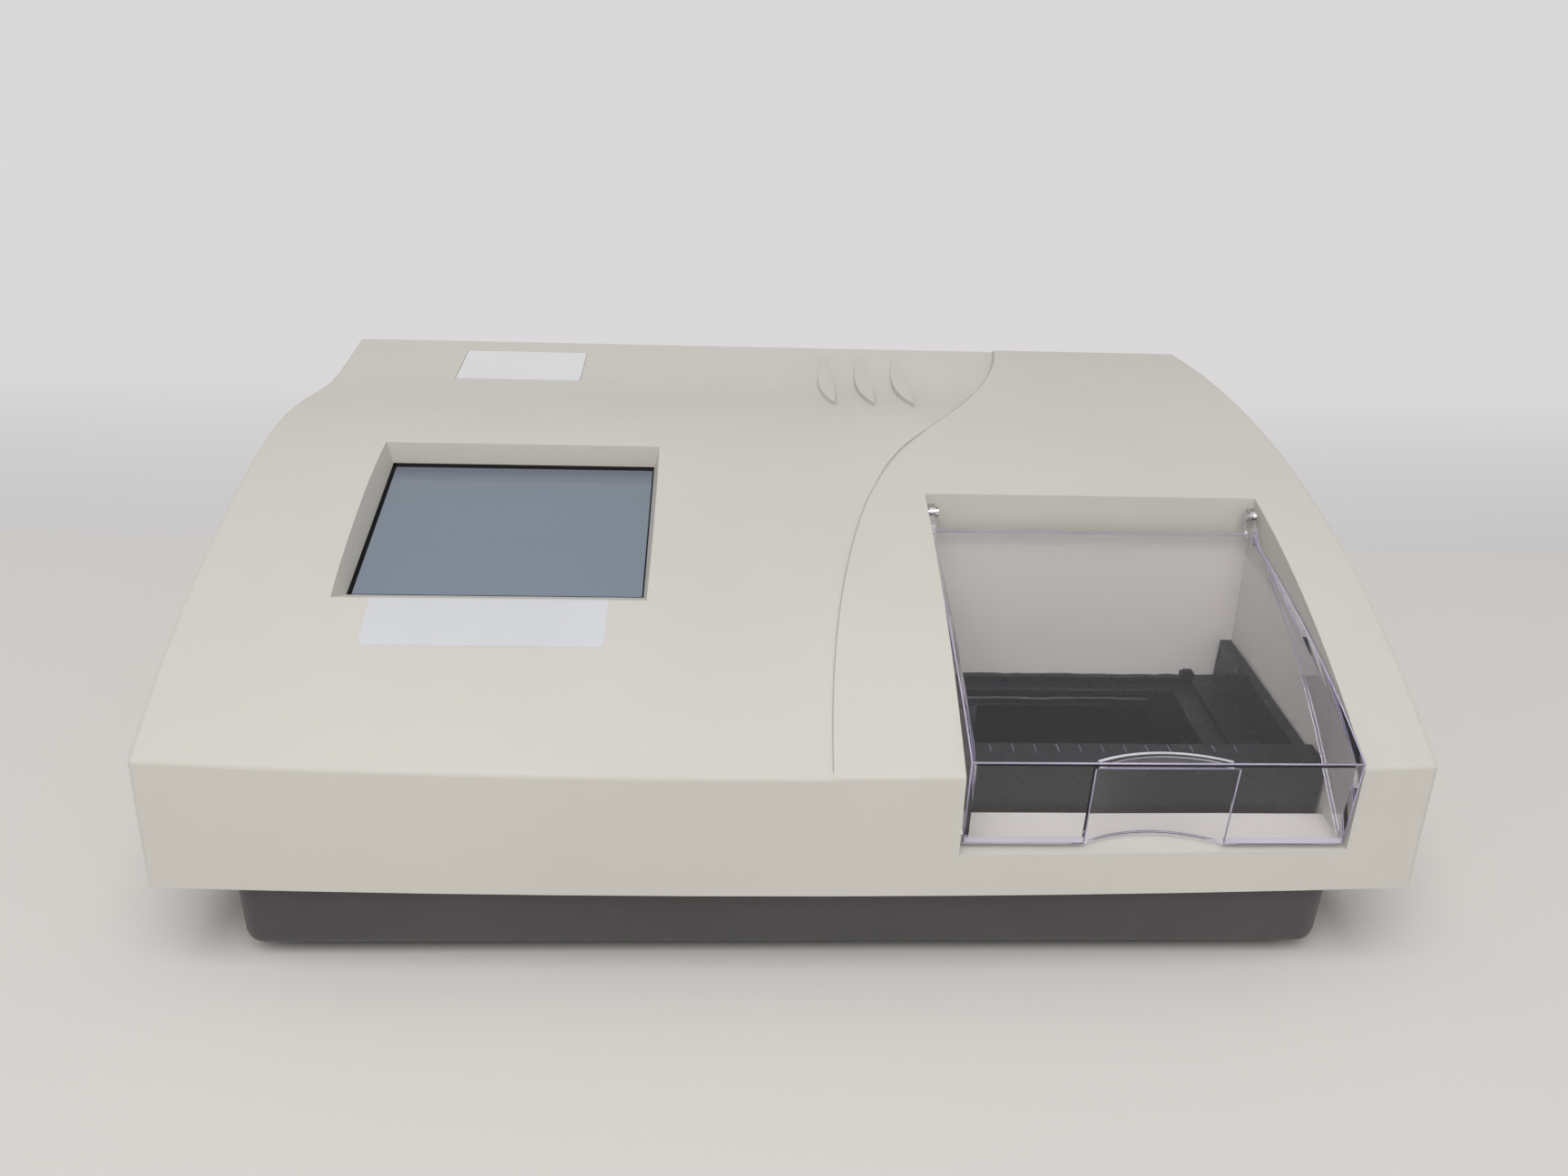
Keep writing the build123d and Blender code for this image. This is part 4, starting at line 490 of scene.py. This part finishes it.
# ---------------------------------------------------------------- dark edge round the screen: a black gasket, and painted shadow of the gap under the cover's edge, widest at the left and rear
EDGE_LEFT, EDGE_RIGHT, EDGE_FRONT, EDGE_REAR = 1.9 * MM, 0.6 * MM, 0.2 * MM, 2.9 * MM
EDGE_THICKNESS = 0.15 * MM
SAME_LEVEL = 0.1 * MM
GLASS_HIDDEN = 3 * MM  # what the cover hides of the glass, on each side
glass_low, glass_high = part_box("touch_glass")
glass_mesh = nodes["touch_glass"].data
top_face = max(glass_mesh.polygons, key=lambda face: face.area * (face.normal.z > 0.5))
glass_up = top_face.normal.copy()
glass_along = glass_up.cross(X).normalized()
heights = [vertex.co.dot(glass_up) for vertex in glass_mesh.vertices]
alongs = [vertex.co.dot(glass_along) for vertex in glass_mesh.vertices]
surface_level = max(heights)
top_alongs = [along for along, height in zip(alongs, heights) if height > surface_level - SAME_LEVEL]
glass_centre = X * (glass_low.x + glass_high.x) / 2 + glass_along * (min(top_alongs) + max(top_alongs)) / 2
glass_centre += glass_up * surface_level
half_width = (glass_high.x - glass_low.x) / 2 - GLASS_HIDDEN
half_along = (max(top_alongs) - min(top_alongs)) / 2 - GLASS_HIDDEN
points, faces = [], []
for middle_x, middle_along, width, length in (
    (-half_width + EDGE_LEFT / 2, 0, EDGE_LEFT, 2 * half_along),
    (half_width - EDGE_RIGHT / 2, 0, EDGE_RIGHT, 2 * half_along),
    (0, half_along - EDGE_REAR / 2, 2 * half_width, EDGE_REAR),
    (0, -half_along + EDGE_FRONT / 2, 2 * half_width, EDGE_FRONT),
):
    centre = glass_centre + X * middle_x + glass_along * middle_along + glass_up * SKIN * MM
    slab(points, faces, bar(centre, X, glass_along, width, length), glass_up, EDGE_THICKNESS)
piece("screen_gasket_and_gap_shadow", points, faces, gasket_and_gap_shadow, "housing")

# ---------------------------------------------------------------- carrier's stop tab and column marks
TAB_PLACE = (190.0, 128.0, 17.0)
TAB_FOOT = (6.0, 4.0, 2.5)  # across, along and up
TAB_TOP = (4.0, 2.4, 1.2)
PLATE_COLUMNS, PLATE_PITCH = 12, 9.0
PLATE_X = 127.4  # the middle of the plate's nest
MARK_BACK, FRONT_RIM_UP = 37.5, 38.0
MARK_WIDTH, MARK_LENGTH = 0.45, 5.0

points, faces = [], []
tab_centre = place(*TAB_PLACE)
for across, along, up in (TAB_FOOT, TAB_TOP):
    slab(points, faces, bar(tab_centre, X, Y, across * MM, along * MM), Z, up * MM)
    tab_centre = tab_centre + Z * up * MM
piece("carrier_stop_tab", points, faces, carrier_plastic, "carrier")

points, faces = [], []
for number in range(PLATE_COLUMNS):
    mark_x = PLATE_X + (number - (PLATE_COLUMNS - 1) / 2) * PLATE_PITCH
    mark = bar(place(mark_x, MARK_BACK, FRONT_RIM_UP), X, Y, MARK_WIDTH * MM, MARK_LENGTH * MM)
    slab(points, faces, mark, Z, MARK * MM)
piece("carrier_column_marks", points, faces, mark_grey, "carrier")

# ---------------------------------------------------------------- light edges of the lid: beads that paint the highlights along its edges
LID_LEFT, LID_MIDDLE, LID_RIGHT = 62.4, 135.9, 209.4
LID_FRONT, LID_REAR = 0.8, 134.0
TOP_FRONT_UP, TOP_REAR_UP = 57.3, 89.9  # the top sheet's outer face
SKIRT_FRONT_UP, SKIRT_REAR_UP = 20.4, 86.5  # the skirt's lower edge
TOP_SLOPES = (0.42, 0.16)  # at the front and at the rear
SKIRT_SLOPES = (0.80, 0.10)
SCOOP_WIDTH, SCOOP_DEPTH = 54.0, 7.0
EDGE_IN = 0.35  # how far a bead's middle lies inside the lid's outer faces
FACE_BACK = 1.2  # just inside the front sheet's face
SKIRT_UP = 20.8  # just above the front sheet's lower edge
CORNER_UPS = (SKIRT_UP, 35.0, 56.9)
SCOOP_SIDE_UPS = (21.0, 40.0, 54.5)
SCOOP_TOP_UP, SCOOP_TOP_HALF = 54.9, 26.4
SCOOP_FOOT_HALF, SCOOP_FOOT_OUT = 25.5, 0.4
BOTTOM_STEP = 22  # from the scoop's side to the bottom bead's middle ring
TOP_BEAD, SKIRT_BEAD, CORNER_BEAD = 0.32 * MM, 0.28 * MM, 0.34 * MM
BOTTOM_BEAD, SCOOP_SIDE_BEAD, SCOOP_TOP_BEAD = 0.26 * MM, 0.24 * MM, 0.20 * MM
ARC_STEPS = 40


def arc(start, start_slope, end, end_slope):
    """(back, up) points of a smooth curve between two ends with given slopes."""
    third = (end[0] - start[0]) / 3
    corners = (start, (start[0] + third, start[1] + third * start_slope),
               (end[0] - third, end[1] - third * end_slope), end)
    line = []
    for share in (step / ARC_STEPS for step in range(ARC_STEPS + 1)):
        left = 1 - share
        weights = (left ** 3, 3 * share * left ** 2, 3 * share ** 2 * left, share ** 3)
        back = sum(weight * corner[0] for weight, corner in zip(weights, corners))
        up = sum(weight * corner[1] for weight, corner in zip(weights, corners))
        line.append((back, up))
    return line


scoop_radius = (SCOOP_WIDTH ** 2 / 4 + SCOOP_DEPTH ** 2) / (2 * SCOOP_DEPTH)
scoop_back = LID_FRONT + SCOOP_DEPTH - scoop_radius


def scoop_arc(half_span, outside, up):
    """Points along the scoop's curved wall or outside it, at one height."""
    reach = math.asin(half_span / scoop_radius)
    radius = scoop_radius + outside
    half_steps = ARC_STEPS // 2
    return [
        place(LID_MIDDLE + radius * math.sin(turn), scoop_back + radius * math.cos(turn), up)
        for turn in (reach * (step / half_steps - 1) for step in range(ARC_STEPS + 1))
    ]


top_arc = arc((LID_FRONT, TOP_FRONT_UP), TOP_SLOPES[0], (LID_REAR, TOP_REAR_UP), TOP_SLOPES[1])
skirt_arc = arc((LID_FRONT, SKIRT_FRONT_UP), SKIRT_SLOPES[0], (LID_REAR, SKIRT_REAR_UP), SKIRT_SLOPES[1])
bead_left, bead_right = LID_LEFT + EDGE_IN, LID_RIGHT - EDGE_IN
corner_back, corner_up = LID_FRONT + EDGE_IN, TOP_FRONT_UP - EDGE_IN
points, faces = [], []
for x in (bead_left, bead_right):
    bead(points, faces, [place(x, back, up - EDGE_IN) for back, up in top_arc], TOP_BEAD)
    bead(points, faces, [place(x, back, up + EDGE_IN) for back, up in skirt_arc], SKIRT_BEAD)
    bead(points, faces, [place(x, corner_back, up) for up in CORNER_UPS], CORNER_BEAD)
front_edge = [place(x, corner_back, corner_up) for x in (bead_left, LID_MIDDLE, bead_right)]
bead(points, faces, front_edge, CORNER_BEAD)
for side, lid_end in ((-1, bead_left), (1, bead_right)):
    edge_x = LID_MIDDLE + side * SCOOP_WIDTH / 2
    bead(points, faces, [place(edge_x, FACE_BACK, up) for up in SCOOP_SIDE_UPS], SCOOP_SIDE_BEAD)
    bottom_xs = (edge_x, edge_x + side * BOTTOM_STEP, lid_end)
    bead(points, faces, [place(x, FACE_BACK, SKIRT_UP) for x in bottom_xs], BOTTOM_BEAD)
bead(points, faces, scoop_arc(SCOOP_FOOT_HALF, SCOOP_FOOT_OUT, SKIRT_UP), BOTTOM_BEAD)
scoop_top_xs = (LID_MIDDLE - SCOOP_TOP_HALF, LID_MIDDLE, LID_MIDDLE + SCOOP_TOP_HALF)
bead(points, faces, [place(x, FACE_BACK, SCOOP_TOP_UP) for x in scoop_top_xs], SCOOP_TOP_BEAD)
piece("lid_edge_highlights", points, faces, violet_edge_highlight, "lid", smooth=True)

# Pale strips just inside the front sheet's slanted lower face and the top sheet's rear face: painted
# highlights for faces which would otherwise mirror the dark inside of the sheet.
STRIP_THICKNESS = 0.1 * MM
FRONT_STRIP_PLACE, FRONT_STRIP_LENGTH = (2.05, 21.5), 2.8 * MM
REAR_STRIP_PLACE, REAR_STRIP_LENGTH = (133.85, 88.6), 2.3 * MM
points, faces = [], []
skirt_along = (Y + Z * SKIRT_SLOPES[0]).normalized()
skirt_up = (Z - Y * SKIRT_SLOPES[0]).normalized()
for side, lid_end in ((-1, bead_left), (1, bead_right)):
    scoop_end = LID_MIDDLE + side * SCOOP_WIDTH / 2
    middle = place((scoop_end + lid_end) / 2, *FRONT_STRIP_PLACE)
    strip = bar(middle, X, skirt_along, abs(lid_end - scoop_end) * MM, FRONT_STRIP_LENGTH)
    slab(points, faces, strip, skirt_up, STRIP_THICKNESS)
strip = bar(place(LID_MIDDLE, *REAR_STRIP_PLACE), X, Z, (bead_right - bead_left) * MM, REAR_STRIP_LENGTH)
slab(points, faces, strip, -Y, STRIP_THICKNESS)
piece("lid_edge_highlight_strips", points, faces, pale_edge_highlight, "lid")

# The thick light bead along the top of the scoop's wall: a painted highlight of that curved edge.
SCOOP_BEAD, SCOOP_BEAD_HALF, SCOOP_BEAD_OUT, SCOOP_BEAD_UP = 0.75 * MM, 24.0, 2.9, 53.9
points, faces = [], []
bead(points, faces, scoop_arc(SCOOP_BEAD_HALF, SCOOP_BEAD_OUT, SCOOP_BEAD_UP), SCOOP_BEAD)
piece("lid_scoop_highlight_bead", points, faces, frosted_edge_highlight, "lid", smooth=True)

# ---------------------------------------------------------------- painted shade in the cross recesses of the screws under the cover's rim
COVER_SCREW_X, COVER_SCREW_BACKS = 225.5, (22.0, 332.0)
COVER_RECESS = 3.4 * MM
points, faces = [], []
screw_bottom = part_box("cover_screws")[0].z
for x in (-COVER_SCREW_X, COVER_SCREW_X):
    for back in COVER_SCREW_BACKS:
        spot = place(x, back, 0)
        spot.z = screw_bottom
        cross(points, faces, spot, X, Y, -Z, COVER_RECESS)
piece("cover_screw_recess_shade", points, faces, black_plastic, "housing")

# ---------------------------------------------------------------- rear panel details
PANEL_SCREW_XS, PANEL_SCREW_UPS = (-180, -90, 90, 180), (14.5, 71.5)
FAN_X, FAN_SCREW_SIDES = 20, (-25, 25)
HEAD_RADIUS, HEAD_HEIGHT, HEAD_RECESS = 2.6 * MM, 1.4 * MM, 2.6 * MM
ROW_UP = 43.0
PORT_ROWS = (("serial_port", (5, 4)), ("printer_port", (13, 12)))
NUT_INSET, NUT_START, NUT_RADIUS, NUT_LENGTH = 3.2 * MM, 1.0 * MM, 2.4 * MM, 4.0 * MM
CONTACT_PITCH, CONTACT_ROW_PITCH, CONTACT_RADIUS = 2.76 * MM, 2.84 * MM, 0.6 * MM

panel_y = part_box("rear_panel")[1].y
row_z = place(0, 0, ROW_UP).z
screw_spots = [place(x, 0, up) for x in PANEL_SCREW_XS for up in PANEL_SCREW_UPS]
screw_spots += [place(FAN_X + side, 0, ROW_UP + rise) for side in FAN_SCREW_SIDES for rise in FAN_SCREW_SIDES]
points, faces = [], []
# Black crosses on the rear screws' heads: painted shade in their recesses.
recess_shade_points, recess_shade_faces = [], []
for spot in screw_spots:
    spot.y = panel_y
    slab(points, faces, disc(spot, -X, Z, HEAD_RADIUS), Y, HEAD_HEIGHT)
    cross(recess_shade_points, recess_shade_faces, spot + Y * (HEAD_HEIGHT + SKIN * MM), -X, Z, Y, HEAD_RECESS)
contact_points, contact_faces = [], []
for name, rows in PORT_ROWS:
    low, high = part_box(name)
    centre_x = (low.x + high.x) / 2
    for side in (-1, 1):
        nut_x = centre_x + side * ((high.x - low.x) / 2 - NUT_INSET)
        nut = disc(Vector((nut_x, panel_y + NUT_START, row_z)), -X, Z, NUT_RADIUS, 6)
        slab(points, faces, nut, Y, NUT_LENGTH)
    for line, count in enumerate(rows):
        for number in range(count):
            contact_x = centre_x + (number - (count - 1) / 2) * CONTACT_PITCH
            spot = Vector((contact_x, high.y, row_z + (0.5 - line) * CONTACT_ROW_PITCH))
            slab(contact_points, contact_faces, disc(spot, -X, Z, CONTACT_RADIUS, 12), Y, MARK * MM)
piece("rear_panel_screws", points, faces, steel, "housing")
piece("rear_screw_recess_shade", recess_shade_points, recess_shade_faces, black_plastic, "housing")
piece("port_contacts", contact_points, contact_faces, black_plastic, "housing")

# ---------------------------------------------------------------- brightness knob's pointer and scale
POINTER_OUT, POINTER_WIDTH, POINTER_LENGTH, POINTER_THICKNESS = 4.0 * MM, 1.0 * MM, 6.0 * MM, 0.08 * MM
SCALE_MARKS, SCALE_LIMIT = 11, 135
SCALE_RADIUS, SCALE_MARK_WIDTH, SCALE_MARK_LENGTH = 11.6 * MM, 0.6 * MM, 2.2 * MM

knob_low, knob_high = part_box("brightness_knob")
knob_centre = Vector(((knob_low.x + knob_high.x) / 2, knob_high.y, (knob_low.z + knob_high.z) / 2))
points, faces = [], []
pointer = bar(knob_centre + Z * POINTER_OUT, -X, Z, POINTER_WIDTH, POINTER_LENGTH)
slab(points, faces, pointer, Y, POINTER_THICKNESS)
piece("knob_pointer", points, faces, white_plate, "brightness_knob")

dial_centre = Vector((knob_centre.x, panel_y, knob_centre.z))
points, faces = [], []
for number in range(SCALE_MARKS):
    turn = math.radians(-SCALE_LIMIT + 2 * SCALE_LIMIT / (SCALE_MARKS - 1) * number)
    outwards = -X * math.sin(turn) + Z * math.cos(turn)
    sideways = -X * math.cos(turn) - Z * math.sin(turn)
    mark = bar(dial_centre + outwards * SCALE_RADIUS, sideways, outwards, SCALE_MARK_WIDTH, SCALE_MARK_LENGTH)
    slab(points, faces, mark, Y, MARK * MM)
piece("knob_scale", points, faces, black_plastic, "housing")

# ---------------------------------------------------------------- marks of the power rocker and the fuse cap
ROCKER_HALF, ROCKER_DIP = 8.0, 1.12  # the face falls this much from each end to the middle
ROCKER_MARK_OUT = 5.0
LINE_WIDTH, LINE_LENGTH = 0.6 * MM, 3.2 * MM
RING_RADIUS, RING_DOTS, DOT_SIZE = 1.4 * MM, 20, 0.5 * MM
FUSE_SLOT_WIDTH, FUSE_SLOT_LENGTH = 1.2 * MM, 9.0 * MM

rocker_low, rocker_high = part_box("power_rocker")
rocker_x = (rocker_low.x + rocker_high.x) / 2
tilt = math.atan2(ROCKER_DIP, ROCKER_HALF)
mark_fall = (ROCKER_HALF - ROCKER_MARK_OUT) * math.tan(tilt) * MM - SKIN * MM
points, faces = [], []
for sign in (1, -1):
    along = (Z * math.cos(tilt) + Y * math.sin(tilt) * sign).normalized()
    outward = along.cross(X)
    middle = Vector((rocker_x, rocker_high.y - mark_fall, row_z + sign * ROCKER_MARK_OUT * MM))
    if sign > 0:
        slab(points, faces, bar(middle, X, along, LINE_WIDTH, LINE_LENGTH), outward, MARK * MM)
        continue
    for number in range(RING_DOTS):
        turn = 2 * math.pi * number / RING_DOTS
        spoke = X * math.cos(turn) + along * math.sin(turn)
        edge = -X * math.sin(turn) + along * math.cos(turn)
        dot = bar(middle + spoke * RING_RADIUS, edge, spoke, DOT_SIZE, DOT_SIZE)
        slab(points, faces, dot, outward, MARK * MM)
piece("rocker_marks", points, faces, white_plate, "power_rocker")

fuse_low, fuse_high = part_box("fuse_holder")
fuse_centre = Vector(((fuse_low.x + fuse_high.x) / 2, fuse_high.y, row_z))
points, faces = [], []
slab(points, faces, bar(fuse_centre, -X, Z, FUSE_SLOT_WIDTH, FUSE_SLOT_LENGTH), Y, MARK * MM)
piece("fuse_cap_slot", points, faces, rubber, "housing")

# ---------------------------------------------------------------- table
BACKDROP = rgb(218, 216, 217)
FLOOR_HALF = 30.0
TABLE_REAR = (0.2210, 0.2222)  # the table's rear edge, where the wall's tone begins
FAR_FADE = (0.225, 0.55)  # behind that edge, the floor fades into the backdrop
ROUND_FADE = (0.6, 1.5)  # and all round the object, with distance


def table_material(name):
    """A pale table that fades into the backdrop, for what looks at it and not for what it lights."""
    shader = Shader(name, Roughness=0.55, Specular_IOR_Level=0.25)
    tree = shader.tree
    rearward = axes(tree, shader.coords)["Y"]
    stops = [(0.0, rgb(224, 221, 217)), (1.0, rgb(222, 220, 220))]
    shader.colour(shader.ramp(remap(tree, rearward, *TABLE_REAR), stops))
    away = add_node(tree, "ShaderNodeVectorMath", {0: shader.coords}, "LENGTH").outputs["Value"]
    fade = larger(tree, remap(tree, rearward, *FAR_FADE), remap(tree, away, *ROUND_FADE))
    ray = rays(tree)
    seen = larger(tree, larger(tree, ray["Is Camera Ray"], ray["Is Glossy Ray"]), ray["Is Transmission Ray"])
    share = add_node(tree, "ShaderNodeMath", {0: seen, 1: fade}, "MULTIPLY").outputs["Value"]
    glow = add_node(tree, "ShaderNodeEmission", {"Color": BACKDROP})
    surface = mixed(tree, share, shader.main.outputs["BSDF"], glow.outputs["Emission"])
    tree.links.new(surface, shader.output.inputs["Surface"])
    return shader.material


floor_corners = [(-FLOOR_HALF, -FLOOR_HALF, 0), (FLOOR_HALF, -FLOOR_HALF, 0),
                 (FLOOR_HALF, FLOOR_HALF, 0), (-FLOOR_HALF, FLOOR_HALF, 0)]
floor = piece("table_floor", floor_corners, [[0, 1, 2, 3]], table_material("table_top"), None)

# ---------------------------------------------------------------- light
# The sky is brighter near the horizon, as in a room with pale walls.
SKY_LOW, SKY_HIGH = 0.72, 0.25
world = bpy.data.worlds.new("studio")
bpy.context.scene.world = world
world.use_nodes = True
world_tree = world.node_tree
sky_direction = world_tree.nodes.new("ShaderNodeTexCoord").outputs["Generated"]
sky_strength = remap(world_tree, axes(world_tree, sky_direction)["Z"], 0.0, 1.0, SKY_LOW, SKY_HIGH)
ambient = world_tree.nodes["Background"]
ambient.inputs["Color"].default_value = (1.0, 1.0, 1.0, 1.0)
world_tree.links.new(sky_strength, ambient.inputs["Strength"])
shown = add_node(world_tree, "ShaderNodeBackground", {"Color": BACKDROP})
world_ray = rays(world_tree)
world_seen = larger(world_tree, world_ray["Is Camera Ray"], world_ray["Is Transmission Ray"])
world_surface = mixed(world_tree, world_seen, ambient.outputs["Background"], shown.outputs["Background"])
world_tree.links.new(world_surface, world_tree.nodes["World Output"].inputs["Surface"])


def softbox(name, location, target, size, power):
    """A large square area light turned towards a target."""
    lamp = bpy.data.lights.new(name, "AREA")
    lamp.shape = "SQUARE"
    lamp.size = size
    lamp.energy = power
    made = bpy.data.objects.new(name, lamp)
    bpy.context.scene.collection.objects.link(made)
    made.location = location
    made.rotation_euler = (Vector(target) - Vector(location)).to_track_quat("-Z", "Y").to_euler()


softbox("front_softbox", location=(-0.15, -1.08, 2.16), target=(0, 0, 0), size=1.8, power=36.0)

# ---------------------------------------------------------------- camera
# Place, direction and lens come from a fit of the housing's outline to the photo.
CAMERA_PLACE = (-0.02928, -0.55262, 0.36158)
CAMERA_HEADING, CAMERA_DIP, CAMERA_ROLL = 3.19, 27.06, 2.12  # degrees
CAMERA_LENS, CAMERA_SENSOR = 29.17, 36.0
camera_data = bpy.data.cameras.new("photo_camera")
camera_data.lens = CAMERA_LENS
camera_data.sensor_width = CAMERA_SENSOR
camera = bpy.data.objects.new("photo_camera", camera_data)
bpy.context.scene.collection.objects.link(camera)
heading = Matrix.Rotation(math.radians(-CAMERA_HEADING), 4, "Z")
dip = Matrix.Rotation(math.radians(90 - CAMERA_DIP), 4, "X")
roll = Matrix.Rotation(math.radians(CAMERA_ROLL), 4, "Z")
camera.matrix_world = Matrix.Translation(CAMERA_PLACE) @ heading @ dip @ roll
bpy.context.scene.camera = camera
bpy.context.scene.view_settings.view_transform = "Standard"
